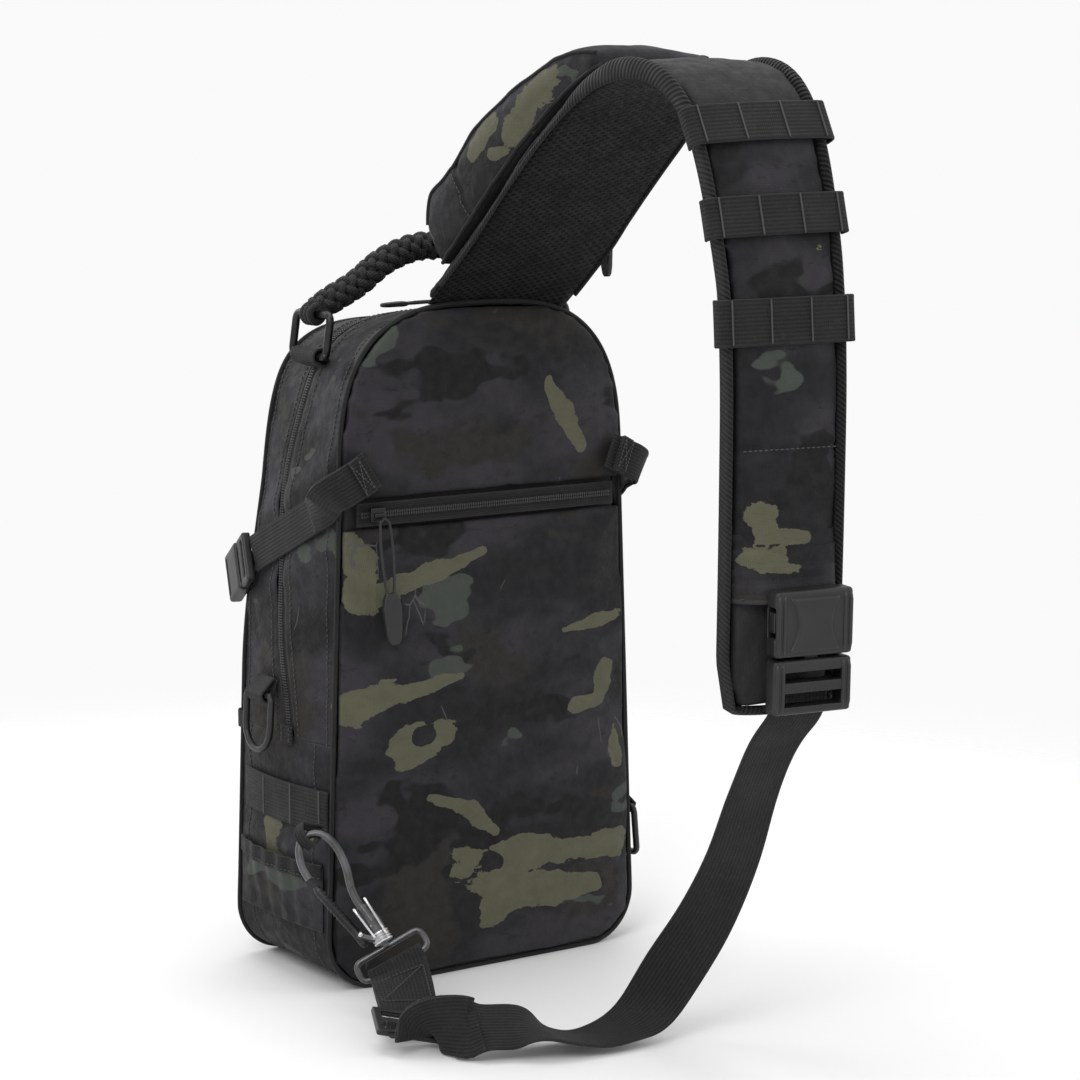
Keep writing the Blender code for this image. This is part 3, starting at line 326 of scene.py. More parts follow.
def plastic_material(name, tone=0.0110, rough=0.38):
    s = Shader(name)
    at = s.objects()
    grain = s.noise(at, 2600.0, 2.0)
    flow = s.noise(at, 40.0, 4.0)
    scuff = s.ramp(s.noise(s.vector("MULTIPLY", at, (1.0, 1.0, 6.0)), 180.0, 5.0, 0.7), 0.60, 0.70)
    colour = s.mix(s.ramp(flow, 0.35, 0.65), (tone * 0.85,) * 3, (tone * 1.25, tone * 1.25, tone * 1.3))
    colour = s.mix(s.math("MULTIPLY", scuff, 0.25), colour, (tone * 3.0,) * 3)
    # Lighter along the edges: a painted edge highlight.
    colour = edge_wear_and_highlight(s, colour, (tone * 5.0,) * 3, 0.5)
    uneven = s.math("ADD", s.ramp(flow, 0.3, 0.7, rough - 0.06, rough + 0.08),
                    s.math("MULTIPLY", scuff, 0.12))
    return s.finish(colour, uneven, s.bump(grain, 0.0003, 0.35, s.bump(flow, 0.002, 0.12)), specular=0.40)


def metal_material(name, tone=0.05, rough=0.30):
    s = Shader(name)
    at = s.objects()
    flow = s.noise(at, 55.0, 4.0)
    scratch = s.noise(s.vector("MULTIPLY", at, (1.0, 6.0, 1.0)), 700.0, 4.0, 0.7)
    colour = s.mix(s.ramp(flow, 0.35, 0.65), (tone * 0.8,) * 3, (tone * 1.3, tone * 1.3, tone * 1.35))
    colour = edge_wear_and_highlight(s, colour, (min(1.0, tone * 5),) * 3, 0.8)
    uneven = s.math("ADD", s.ramp(flow, 0.3, 0.7, rough - 0.05, rough + 0.08),
                    s.math("MULTIPLY", s.ramp(scratch, 0.55, 0.7), 0.10))
    return s.finish(colour, uneven, s.bump(scratch, 0.0002, 0.3), metallic=0.85)


def floor_material():
    """Pale floor that thins out into the studio background away from the bag."""
    s = Shader("floor")
    at = s.objects()
    tone = s.mix(s.noise(at, 3.0), (0.725, 0.725, 0.725), (0.745, 0.745, 0.745))
    mat = s.finish(tone, 0.6, s.bump(s.noise(at, 220.0), 0.0004, 0.05), specular=0.2)
    away = s.node("VectorMath", {"operation": "LENGTH"}, Vector=at).outputs["Value"]
    mixed = s.node("MixShader")
    s.tree.links.new(s.ramp(away, 0.45, 1.00), mixed.inputs[0])
    s.tree.links.new(s.bsdf.outputs[0], mixed.inputs[1])
    s.tree.links.new(s.node("BsdfTransparent").outputs[0], mixed.inputs[2])
    s.tree.links.new(mixed.outputs[0], s.tree.nodes["Material Output"].inputs["Surface"])
    return mat


CAMO = camo_material("camo_nylon")
# A copy of the camouflage dimmed to nine tenths for the side gussets and the strap pocket: painted shade.
CAMO_SHADED = camo_material("camo_nylon_shaded", 0.90)
PLAIN = camo_material("plain_nylon", 1.0, True)
WEB = webbing_material("webbing")
WEB_FINE = webbing_material("narrow_tape", 0.0085, 0.0016, 0.0011)
MESH = mesh_material("spacer_mesh")
ROPE = rope_material("woven_binding")
CORD = cord_material("braided_cord")
PLASTIC = plastic_material("moulded_nylon")
PLASTIC_DULL = plastic_material("moulded_pull", 0.013, 0.50)
METAL = metal_material("coated_metal", 0.030, 0.32)
GUNMETAL = metal_material("hook_metal", 0.085, 0.30)
STEEL = metal_material("bright_metal", 0.30, 0.24)
THREAD = webbing_material("thread", 0.022, 0.0008, 0.0006)
LINING = webbing_material("lining", 0.018, 0.0012, 0.0012)


# ---------------------------------------------------------------- mesh helpers
MAIN_WEB, SIDE_WEB, WEB_T = 0.038, 0.025, 0.0016
CLOTH_FRAMES = 20
TACK = (0.0012, 0.0022, 0.0006)  # pitch, length and radius of the close stitches across webbing
BOX_STITCH = (0.0026, 0.0020)  # pitch and length of a sewn box's stitches


def unit(v):
    v = np.asarray(v, float)
    return v / np.linalg.norm(v)


def spline(points, count, closed=False):
    """Catmull-Rom through the points, resampled evenly."""
    p = np.asarray(points, float)
    n = len(p)
    ends = np.concatenate([p[-1:], p, p[:2]]) if closed else np.concatenate(
        [2 * p[:1] - p[1:2], p, 2 * p[-1:] - p[-2:-1]])
    fine = []
    for i in range(n if closed else n - 1):
        a, b, c, d = ends[i], ends[i + 1], ends[i + 2], ends[i + 3]
        for t in np.linspace(0, 1, 24, endpoint=False):
            fine.append(0.5 * (2 * b + (c - a) * t + (2 * a - 5 * b + 4 * c - d) * t ** 2
                               + (3 * b - a - 3 * c + d) * t ** 3))
    fine.append(p[0] if closed else p[-1])
    return even(np.array(fine), count, closed)


def even(fine, count, closed=False):
    """The same line with its points an equal distance apart."""
    run = run_of(fine)
    at = np.linspace(0, run[-1], count + 1 if closed else count)
    out = np.stack([np.interp(at, run, fine[:, k]) for k in range(fine.shape[1])], axis=1)
    return out[:-1] if closed else out


def run_of(points):
    return np.concatenate([[0], np.cumsum(np.linalg.norm(np.diff(points, axis=0), axis=1))])


def rows_at(rows, count):
    rows = np.asarray(rows, float)
    at = np.linspace(0, len(rows) - 1, count)
    return np.stack([np.interp(at, range(len(rows)), rows[:, k]) for k in range(rows.shape[1])], axis=1)


def hum(point, scale, seed=0.0):
    """Smooth noise from -1 to 1, the same on every run."""
    x, y, z = (v * scale for v in point)
    return noise.noise(Vector((x + seed, y - seed, z + 2 * seed)))


def make(name, points, faces, mat, weave=(0.0, 0.0), smooth=True):
    """A mesh object. weave gives each point's metres along and across its cloth."""
    mesh = bpy.data.meshes.new(name)
    mesh.from_pydata([tuple(map(float, p)) for p in points], [], faces)
    layer = mesh.attributes.new("weave", "FLOAT_VECTOR", "POINT")
    flat = np.zeros((len(points), 3), np.float32)
    flat[:, :2] = weave
    layer.data.foreach_set("vector", flat.ravel())
    form = bmesh.new()
    form.from_mesh(mesh)
    bmesh.ops.recalc_face_normals(form, faces=form.faces)
    form.to_mesh(mesh)
    form.free()
    if smooth:
        mesh.shade_smooth()
    mesh.materials.append(mat)
    obj = bpy.data.objects.new(name, mesh)
    SCENE.collection.objects.link(obj)
    return obj


def grid_faces(rows, cols, start=0, round_rows=False, round_cols=False):
    faces = []
    for i in range(rows if round_rows else rows - 1):
        k = (i + 1) % rows
        for j in range(cols if round_cols else cols - 1):
            m = (j + 1) % cols
            faces.append(tuple(start + a * cols + b for a, b in ((i, j), (i, m), (k, m), (k, j))))
    return faces


def loft_faces(rings, around, start=0):
    """Faces round a row of rings, closed at both ends."""
    ends = (start, start + (rings - 1) * around)
    return grid_faces(rings, around, start, False, True) + [tuple(range(k, k + around)) for k in ends]


def tube(name, path, across, section, mat, closed=False, weave_round=None):
    """Carries a section, a list of (across, out) pairs or one such list for each point, along a path."""
    path = np.asarray(path, float)
    n = len(path)
    across = np.asarray(across, float)
    if across.ndim == 1:
        across = np.repeat(across[None], n, axis=0)
    sections = section if isinstance(section[0][0], (tuple, list, np.ndarray)) else [section] * n
    run = run_of(path)
    m = len(sections[0])
    points, weave = [], []
    for i in range(n):
        ahead = path[(i + 1) % n] - path[i - 1] if closed else path[min(i + 1, n - 1)] - path[max(i - 1, 0)]
        ahead = unit(ahead)
        side = unit(across[i] - ahead * np.dot(across[i], ahead))
        out = np.cross(ahead, side)
        for k, (u, v) in enumerate(sections[i]):
            points.append(path[i] + side * u + out * v)
            weave.append((run[i], u if weave_round is None else weave_round * k / m))
    faces = grid_faces(n, m, 0, True, True) if closed else loft_faces(n, m)
    return make(name, points, faces, mat, weave)


def strap_section(width, thick, rim=0.0):
    """Flat webbing section with rounded, slightly thicker edges."""
    w, t = width / 2, thick / 2
    top = [(-w, 0), (-w + t * 0.35, t * 0.75 + rim), (-w + t * 1.4, t + rim), (-w * 0.78, t), (-w * 0.4, t),
           (0, t), (w * 0.4, t), (w * 0.78, t), (w - t * 1.4, t + rim), (w - t * 0.35, t * 0.75 + rim), (w, 0)]
    return top + [(u, -v) for u, v in top[-2:0:-1]]


SIDE_SECTION = strap_section(SIDE_WEB, WEB_T, 0.0001)


def round_section(radius, sides=12, squash=1.0):
    return [(radius * math.cos(a), radius * squash * math.sin(a))
            for a in np.linspace(0, 2 * math.pi, sides, endpoint=False)]


def subdivide(obj):
    mod = obj.modifiers.new("smooth", "SUBSURF")
    mod.levels = 1
    mod.render_levels = 1
    return apply_all(obj)


def apply_all(obj):
    graph = bpy.context.evaluated_depsgraph_get()
    mesh = bpy.data.meshes.new_from_object(obj.evaluated_get(graph))
    obj.modifiers.clear()
    obj.data = mesh
    mesh.shade_smooth()
    return obj


def coords(obj):
    out = np.zeros(len(obj.data.vertices) * 3)
    obj.data.vertices.foreach_get("co", out)
    return out.reshape(-1, 3)


def set_coords(obj, points):
    obj.data.vertices.foreach_set("co", np.asarray(points, np.float32).ravel())
    obj.data.update()


def normals(obj):
    out = np.zeros(len(obj.data.vertices) * 3)
    obj.data.vertices.foreach_get("normal", out)
    return out.reshape(-1, 3)


def voxels(obj, size):
    """Remeshes an object evenly and keeps its material."""
    remesh = obj.modifiers.new("remesh", "REMESH")
    remesh.mode = "VOXEL"
    remesh.voxel_size = size
    mat = obj.data.materials[0]
    apply_all(obj)
    if not obj.data.materials:
        obj.data.materials.append(mat)


def inflate(obj, voxel, pressure, cap, hold):
    """Cloth under pressure, its movement capped and its result kept. hold says which points stay."""
    voxels(obj, voxel)
    rest = coords(obj)
    cloth = obj.modifiers.new("cloth", "CLOTH")
    cloth.settings.quality = 4
    cloth.settings.mass = 0.2
    cloth.settings.tension_stiffness = 12
    cloth.settings.compression_stiffness = 12
    cloth.settings.shear_stiffness = 5
    cloth.settings.bending_stiffness = 0.4
    cloth.settings.use_pressure = True
    cloth.settings.uniform_pressure_force = pressure
    cloth.settings.effector_weights.gravity = 0
    cloth.point_cache.frame_start = 1
    cloth.point_cache.frame_end = CLOTH_FRAMES
    group = obj.vertex_groups.new(name="hold")
    for i, p in enumerate(rest):
        group.add([i], float(hold(p)), "REPLACE")
    cloth.settings.vertex_group_mass = "hold"
    for step in range(1, CLOTH_FRAMES + 1):
        SCENE.frame_set(step)
    graph = bpy.context.evaluated_depsgraph_get()
    swollen = obj.evaluated_get(graph).to_mesh()
    moved = np.zeros(len(rest) * 3)
    swollen.vertices.foreach_get("co", moved)
    moved = moved.reshape(-1, 3) - rest
    size = np.linalg.norm(moved, axis=1)
    moved *= (cap * np.tanh(size / cap) / np.maximum(size, 1e-9))[:, None]
    obj.modifiers.remove(cloth)
    obj.vertex_groups.clear()
    SCENE.frame_set(1)
    set_coords(obj, rest + moved)
    return obj


def wrinkle(obj, height):
    """Moves each point along its normal by height(point), in metres."""
    points = coords(obj)
    away = normals(obj)
    set_coords(obj, points + away * np.array([height(p) for p in points])[:, None])
    return obj


def soften(obj, voxel, pressure, cap, hold, height):
    """Swells a padded piece, rounds it and gives it its wrinkles."""
    inflate(obj, voxel, pressure, cap, hold)
    return wrinkle(subdivide(obj), height)


def relax(obj, rounds):
    mod = obj.modifiers.new("relax", "SMOOTH")
    mod.iterations = rounds
    mod.factor = 0.5
    return apply_all(obj)


def place(obj, body, slot, *nodes):
    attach(obj, body)
    if nodes:
        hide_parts(*nodes)
    return obj


def cast(node, voxel, mat, slot, body, rounds=3):
    """A moulded or cast piece: the CAD solid with every edge softened."""
    source = frame["nodes"][node]
    mesh = source.data.copy()
    mesh.materials.clear()
    mesh.materials.append(mat)
    obj = bpy.data.objects.new(node + "_cast", mesh)
    SCENE.collection.objects.link(obj)
    voxels(obj, voxel)
    relax(obj, rounds)
    return place(obj, body, slot, node)


def stitches(name, points, out, pitch=0.0036, length=0.0024, radius=0.00038):
    """A row of thread along a line of points; out is the way that the stitches stand proud."""
    points = np.asarray(points, float)
    out = np.asarray(out, float)
    if out.ndim == 1:
        out = np.repeat(out[None], len(points), axis=0)
    run = run_of(points)
    places = np.arange(pitch / 2, run[-1], pitch)
    verts, faces = [], []
    for at in places:
        c = np.array([np.interp(at, run, points[:, k]) for k in range(3)])
        near = np.array([np.interp(at + 1e-4, run, points[:, k]) for k in range(3)])
        o = unit(np.array([np.interp(at, run, out[:, k]) for k in range(3)]))
        t = unit(near - c) if np.linalg.norm(near - c) > 1e-9 else unit(c - points[0])
        s = np.cross(t, o)
        start = len(verts)
        for along, fat in ((-0.5, 0.45), (-0.25, 1.0), (0.25, 1.0), (0.5, 0.45)):
            lift = 0.0001 if fat < 1 else 0.0003
            for a in np.linspace(0, 2 * math.pi, 6, endpoint=False):
                spoke = s * math.cos(a) + o * math.sin(a)
                verts.append(c + t * along * length + spoke * radius * fat + o * lift)
        faces += loft_faces(4, 6, start)
    return make(name, verts, faces, THREAD)


def teeth(name, points, across, out, width, pitch=0.0018, height=0.0011):
    """The coil of a zip: a short bar across the line at every pitch."""
    points, across, out = (np.asarray(v, float) for v in (points, across, out))
    if across.ndim == 1:
        across = np.repeat(across[None], len(points), axis=0)
    if out.ndim == 1:
        out = np.repeat(out[None], len(points), axis=0)
    run = run_of(points)
    verts, faces = [], []
    for at in np.arange(pitch, run[-1] - pitch, pitch):
        c, a, o = (np.array([np.interp(at, run, rows[:, k]) for k in range(3)]) for rows in (points, across, out))
        a, o = unit(a), unit(o)
        t = np.cross(o, a)
        start = len(verts)
        for u in (-0.5, -0.32, 0.32, 0.5):
            fat = 0.55 if abs(u) == 0.5 else 1.0
            for dt, do in ((-1, 0.0), (-0.6, 0.9), (0.6, 0.9), (1, 0.0)):
                verts.append(c + a * u * width + t * dt * pitch * 0.36 * fat + o * do * height * fat)
        faces += loft_faces(4, 4, start)
    return make(name, verts, faces, PLASTIC, smooth=False)


# Olive strokes of the camouflage on each face: where each starts and ends, and its half width at both ends.
# The third value of a place is set by the face. A stroke with a negative width leaves a hole.
BACK_STROKES = [((-0.103, 0.290), (-0.100, 0.264), 0.017, 0.015),
                ((-0.090, 0.262), (-0.006, 0.286), 0.012, 0.004),
                ((-0.113, 0.266), (-0.110, 0.270), -0.006, -0.005),
                ((-0.117, 0.187), (-0.085, 0.195), 0.014, 0.013),
                ((-0.085, 0.195), (-0.024, 0.204), 0.012, 0.004),
                ((-0.062, 0.163), (-0.044, 0.169), 0.018, 0.016),
                ((-0.057, 0.166), (-0.051, 0.166), -0.007, -0.006),
                ((-0.049, 0.125), (-0.020, 0.114), 0.006, 0.007),
                ((-0.018, 0.113), (0.003, 0.094), 0.008, 0.004),
                ((-0.026, 0.078), (0.106, 0.073), 0.014, 0.012),
                ((0.002, 0.060), (0.000, 0.034), 0.022, 0.014),
                ((0.015, 0.050), (0.086, 0.047), 0.019, 0.008),
                ((0.000, 0.074), (0.005, 0.073), -0.007, -0.006),
                ((0.060, 0.226), (0.112, 0.233), 0.004, 0.007),
                ((0.069, 0.173), (0.090, 0.175), 0.007, 0.006),
                ((0.091, 0.177), (0.094, 0.198), 0.007, 0.008),
                ((0.104, 0.160), (0.108, 0.130), 0.006, 0.009),
                ((0.046, 0.395), (0.058, 0.375), 0.005, 0.009),
                ((0.058, 0.375), (0.074, 0.351), 0.009, 0.005)]
PAD_STROKES = [((0.028, 0.542), (0.026, 0.530), 0.014, 0.012),
               ((0.038, 0.528), (0.044, 0.500), 0.010, 0.008),
               ((-0.001, 0.342), (0.004, 0.330), 0.015, 0.010),
               ((0.004, 0.329), (0.029, 0.327), 0.007, 0.005),
               ((-0.012, 0.317), (0.012, 0.315), 0.011, 0.010),
               ((0.012, 0.311), (0.036, 0.302), 0.008, 0.006),
               ((-0.018, 0.420), (-0.010, 0.428), 0.006, 0.004)]
POUCH_STROKES = [((-0.182, 0.592), (-0.148, 0.560), 0.018, 0.013),
                 ((-0.122, 0.568), (-0.106, 0.553), 0.011, 0.010),
                 ((-0.152, 0.552), (-0.128, 0.548), 0.008, 0.006),
                 ((-0.048, 0.488), (-0.050, 0.474), 0.015, 0.012)]
SIDE_STROKES = [((0.005, 0.096), (0.004, 0.078), 0.013, 0.012),
                ((0.000, 0.075), (-0.036, 0.073), 0.011, 0.009),
                ((-0.030, 0.102), (-0.042, 0.104), 0.006, 0.006),
                ((0.048, 0.104), (0.058, 0.104), 0.006, 0.006)]
STROKES = [((a[0], -0.068, a[1]), (b[0], -0.068, b[1]), r, q) for a, b, r, q in BACK_STROKES]
STROKES += [((a[0], -0.355, a[1]), (b[0], -0.355, b[1]), r, q) for a, b, r, q in PAD_STROKES]
STROKES += [((-0.040, *a), (-0.040, *b), r, q) for a, b, r, q in POUCH_STROKES]
STROKES += [((-0.125, *a), (-0.125, *b), r, q) for a, b, r, q in SIDE_STROKES]


def paint(obj):
    """Stores how deep each point lies in an olive stroke, for the camouflage to follow."""
    points = coords(obj)
    depth = np.zeros(len(points))
    for start, end, width, end_width in STROKES:
        way = np.array(end) - start
        along = np.clip((points - start) @ way / (way @ way), 0, 1)
        away = np.linalg.norm(points - start - along[:, None] * way, axis=1)
        inside = np.clip(1.35 - away / np.abs(width + (end_width - width) * along), 0, 1.0)
        depth = np.maximum(depth, inside) if width > 0 else np.minimum(depth, 1 - inside * 1.2)
    layer = obj.data.attributes.new("patch", "FLOAT", "POINT")
    layer.data.foreach_set("value", depth.astype(np.float32))
    return obj


def shell(obj, thick):
    mod = obj.modifiers.new("thickness", "SOLIDIFY")
    mod.thickness = thick
    mod.offset = -1
    return obj


# ---------------------------------------------------------------- body outline, as the CAD has it
HALF_LOW, HALF_HIGH = 0.1215, 0.1105
DOME_START, TOP_Z = 0.330, 0.449
BASE_Z, CORNER = 0.0022, 0.034
HALF_DEPTH, BULGE, TAPER = 0.0580, 0.0065, 0.0175
SPLIT_Z, ZIP_Y = 0.1650, 0.0053
STRAP_SLOPE = 0.46


def half_outline():
    points = [(0.0, BASE_Z), (0.045, BASE_Z)]
    for a in np.linspace(0, math.pi / 2, 7):
        points.append((HALF_LOW - CORNER + CORNER * math.sin(a), BASE_Z + CORNER * (1 - math.cos(a))))
    for z in np.linspace(0.06, DOME_START, 10):
        points.append((HALF_LOW + (HALF_HIGH - HALF_LOW) * (z - 0.036) / (DOME_START - 0.036), z))
    for a in np.linspace(0.02, math.pi / 2, 24):
        x = HALF_HIGH * max(0.0, math.cos(a)) ** (2 / 3) if a < math.pi / 2 - 1e-6 else 0.0
        points.append((x, DOME_START + (TOP_Z - DOME_START) * math.sin(a) ** (2 / 3)))
    return np.array(points)


def outline(offset=0.0, z_low=None, z_high=None, count=240, front=False):
    """The outline seen along Y, or the part of it above z_low or below z_high, moved out by offset."""
    right = half_outline()
    loop = np.concatenate([right, right[::-1][1:-1] * (-1, 1)])
    fine = spline(loop, 720, closed=True)
    tangent = np.roll(fine, -1, axis=0) - np.roll(fine, 1, axis=0)
    normal = np.stack([tangent[:, 1], -tangent[:, 0]], axis=1)
    normal /= np.linalg.norm(normal, axis=1)[:, None]
    reach = offset - (TAPER * lean(fine[:, 1]) if front else 0.0)
    moved = fine + normal * np.broadcast_to(reach, len(fine))[:, None]
    if z_low is None and z_high is None:
        return even(np.concatenate([moved, moved[:1]]), count, closed=True)
    if z_high is not None:
        moved = np.roll(moved, 360, axis=0)
    limit = z_low if z_low is not None else z_high
    inside = np.flatnonzero(moved[:, 1] > limit if z_low is not None else moved[:, 1] < limit)
    first, last = inside[0], inside[-1]

    def meet(a, b):
        return a + (b - a) * (limit - a[1]) / (b[1] - a[1])

    piece = np.concatenate([[meet(moved[first - 1], moved[first])], moved[first:last + 1],
                            [meet(moved[last], moved[(last + 1) % 720])]])
    return even(piece, count)


def swell(z):
    low = np.clip((z - 0.02) / 0.07, 0, 1)
    high = np.clip((0.400 - z) / 0.10, 0, 1)
    return low * low * (3 - 2 * low) * high * high * (3 - 2 * high)


def lean(z):
    t = np.clip((z - 0.20) / 0.20, 0, 1)
    return t * t * (3 - 2 * t)


def gusset_offset(y, z):
    front = np.clip((y + HALF_DEPTH) / (2 * HALF_DEPTH), 0, 1)
    return BULGE * (1 - (y / HALF_DEPTH) ** 2) * swell(z) - TAPER * front ** 1.15 * lean(z)


def zip_shift(z):
    return -0.0185 * np.exp(-((z - 0.155) / 0.06) ** 2) + 0.0100 * np.exp(-((z - 0.33) / 0.042) ** 2)


def gusset_x(y, z, side=-1):
    half = HALF_LOW + (HALF_HIGH - HALF_LOW) * (z - 0.036) / (DOME_START - 0.036)
    return side * (half + gusset_offset(y, z))


def strap_line(y):
    """Height of the compression strap where it crosses the gusset at depth y."""
    return 0.3245 - (y + 0.0570) * STRAP_SLOPE


def slack(point, y0, y1, run):
    """How far the gusset's fabric stands off its smooth form."""
    x, y, z = point
    height = 0.0016 * hum(point, 17, 2.0) + 0.0010 * hum(point, 42, 5.0) + 0.0004 * hum(point, 110, 1.0)
    edge = min(y - y0, y1 - y)
    height += 0.0005 * math.sin(run * 2 * math.pi / 0.0125) * math.exp(-max(edge, 0) / 0.006)
    height *= min(1.0, 0.25 + edge / 0.012) if edge > 0 else 0.25
    if abs(x) > 0.08:
        off = abs(z - strap_line(y))
        height += -0.0016 * math.exp(-(off / 0.015) ** 2) + 0.0020 * math.exp(-((off - 0.027) / 0.011) ** 2)
        if y < 0.047:
            band = abs(z - 0.1210)
            height -= 0.0010 * math.exp(-(band / 0.016) ** 2)
            height += 0.0012 * math.exp(-((band - 0.028) / 0.010) ** 2)
    return height


def strip_grid(y0, y1, curve, z_low=None, z_high=None, count=300, cols=22, lift=0.0, plain=False):
    """Points of a gusset strip, with the way out and the distance along and across at each."""
    base = outline(0.0, z_low, z_high, count)
    normal = np.gradient(base, axis=0)
    normal = np.stack([normal[:, 1], -normal[:, 0]], axis=1)
    normal[[0, -1], 1] = 0
    normal /= np.linalg.norm(normal, axis=1)[:, None]
    run = run_of(base)
    shift = zip_shift(base[:, 1])
    points, outs, weave = [], [], []
    for i in range(count):
        a, b = y0 + curve[0] * shift[i], y1 + curve[1] * shift[i]
        for f in np.linspace(0, 1, cols):
            y = a * (1 - f) + b * f
            away = gusset_offset(y, base[i, 1]) + lift
            flat = base[i] + normal[i] * away
            point = np.array([flat[0], y, flat[1]])
            out = np.array([normal[i, 0], 0, normal[i, 1]])
            if not plain:
                point = point + out * slack(point, a, b, run[i])
            points.append(point)
            outs.append(out)
            weave.append((run[i], y))
    shape = (count, cols, 3)
    return np.array(points).reshape(shape), np.array(outs).reshape(shape), np.array(weave)


def gusset_piece(name, body, node, y0, y1, curve, z_low=None, z_high=None):
    points, outs, weave = strip_grid(y0, y1, curve, z_low, z_high)
    rows, cols = points.shape[:2]
    obj = paint(make(name, points.reshape(-1, 3), grid_faces(rows, cols), CAMO_SHADED, weave))
    shell(obj, 0.0016)
    place(obj, body, "camo_fabric", node)
    for side, inset in (("rear", 3), ("front", cols - 4)):
        line = points[:, inset] + outs[:, inset] * 0.0002
        place(stitches(name + "_stitch_" + side, line, outs[:, inset]), body, "camo_fabric")


gusset_piece("rear_gusset_fabric", "bag", "rear_gusset", -0.0581, 0.0, (0, 1), z_low=SPLIT_Z + 0.0003)
gusset_piece("lid_gusset_fabric", "lid", "lid_gusset", ZIP_Y * 2 + 0.0003, 0.0594, (1, 0),
             z_low=SPLIT_Z + 0.0003)
gusset_piece("lower_gusset_fabric", "bag", "lower_gusset", -0.0581, 0.0577, (0, 0), z_high=SPLIT_Z)

for part, body, y0, y1 in (("rear", "bag", 0.0003, ZIP_Y - 0.00015),
                           ("lid", "lid", ZIP_Y + 0.00015, ZIP_Y * 2)):
    grid, outs, weave = strip_grid(y0, y1, (1, 1), SPLIT_Z + 0.004, None, 300, 4, -0.0003, True)
    tape = make("main_zip_" + part, grid.reshape(-1, 3), grid_faces(300, 4), WEB_FINE, weave)
    place(shell(tape, 0.0012), body, "zip_tape", "main_zip_tape_" + part)
    line = grid[:, 3 if part == "rear" else 0]
    way = (0, -1, 0) if part == "rear" else (0, 1, 0)
    line = line + np.array(way) * 0.0011 + outs[:, 0] * 0.0001
    place(teeth("main_zip_coil_" + part, line, (0, 1, 0), outs[:, 0], 0.0022), body, "zip_tape")


# ---------------------------------------------------------------- padded panels
def panel_form(name, loop, y_flat, y_edge, toward, puff, mat, steps=14, roll=0.010):
    """A closed pad with a flat side at y_flat and a swelling side whose rim is at y_edge."""
    loop = np.asarray(loop)
    centre = loop.mean(axis=0)
    count = len(loop)
    points = []
    for s in np.linspace(0.04, 1.0, steps):
        d = (1 - s) * 0.10
        y = y_edge + toward * puff * (1 - math.exp(-d / roll))
        points += [(p[0], y, p[1]) for p in centre + (loop - centre) * s]
    points += [(p[0], y_flat, p[1]) for p in loop]
    points += [(p[0], y_flat, p[1]) for p in centre + (loop - centre) * 0.04]
    return make(name, points, loft_faces(steps + 2, count), mat)


def cut_loop(z_low=None, z_high=None, inset=0.0, count=120, front=False):
    """A closed loop: the outline above z_low or below z_high, with the straight cut as its other side."""
    side = outline(-inset, z_low=z_low, z_high=z_high, count=count, front=front)
    straight = np.linspace(side[-1], side[0], max(12, int(np.linalg.norm(side[-1] - side[0]) / 0.006)))[1:-1]
    return np.concatenate([side, straight])


BACK_ZIP_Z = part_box("back_zip_tape")[0].z / 2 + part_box("back_zip_tape")[1].z / 2


def back_wrinkle(p):
    if p[1] > -0.0600:
        return 0.0
    return 0.0011 * hum(p, 16, 4.0) + 0.0007 * hum(p, 38, 2.5) + 0.0003 * hum(p, 95, 7.0)


for part, cut, cap, nodes in (("lower", {"z_high": BACK_ZIP_Z - 0.0075}, 0.0022, ("back_panel",)),
                              ("upper", {"z_low": BACK_ZIP_Z + 0.0075}, 0.0020, ())):
    loop = cut_loop(inset=-0.0002, **cut)
    panel = panel_form("back_panel_" + part, loop, -0.0588, -0.0630, -1, 0.0038, CAMO)
    paint(soften(panel, 0.0042, 3.0, cap, lambda p: p[1] > -0.0600, back_wrinkle))
    place(panel, "bag", "camo_fabric", *nodes)

rim = outline(0.0010, count=360)
piping_path = np.array([(p[0], -0.0595, p[1]) for p in rim])
piping = tube("back_piping", piping_path, (0, 1, 0), round_section(0.0017, 8), WEB_FINE, True, 0.01)
place(piping, "bag", "webbing")

lining_form = panel_form("back_lining", outline(-0.0045, count=160), -0.0524, -0.0576, 1, 0.0, LINING, 10)
place(lining_form, "bag", "spacer_mesh", "back_foam")

zip_low, zip_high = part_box("back_zip_tape")
zip_mid_y = (zip_low.y + zip_high.y) / 2
for part, s in (("below", -1), ("above", 1)):
    rows = []
    for x in np.linspace(zip_low.x + 0.0005, zip_high.x - 0.0005, 90):
        sag = 0.0004 * hum((x, 0, s), 40)
        rows += [(x, zip_mid_y + sag * v, BACK_ZIP_Z + s * v) for v in (0.0002, 0.0025, 0.0050, 0.0076)]
    weave = [(p[0], p[2]) for p in rows]
    half = make("back_zip_" + part, rows, grid_faces(90, 4), WEB_FINE, weave)
    place(shell(half, 0.0010), "bag", "zip_tape", *(("back_zip_tape",) if s < 0 else ()))
    ends = (zip_low.x + 0.002, zip_high.x - 0.002)
    line = [(x, zip_mid_y - 0.0004, BACK_ZIP_Z + s * 0.0010) for x in ends]
    place(teeth("back_zip_coil_" + part, line, (0, 0, 1), (0, -1, 0), 0.0021), "bag", "zip_tape")


# ---------------------------------------------------------------- front panels and pockets
def front_wrinkle(p):
    return 0.0010 * hum(p, 18, 1.0) + 0.0006 * hum(p, 45, 3.0) if p[1] > 0.0592 else 0.0


for part, body, loop in (("lower", "bag", cut_loop(z_high=SPLIT_Z - 0.0004, count=100)),
                         ("upper", "lid", cut_loop(z_low=SPLIT_Z + 0.0007, count=120, front=True))):
    face = panel_form("front_" + part, loop, 0.0581, 0.0604, 1, 0.0012, CAMO)
    wrinkle(subdivide(face), front_wrinkle)
    place(face, body, "camo_fabric", "front_panel_" + part)

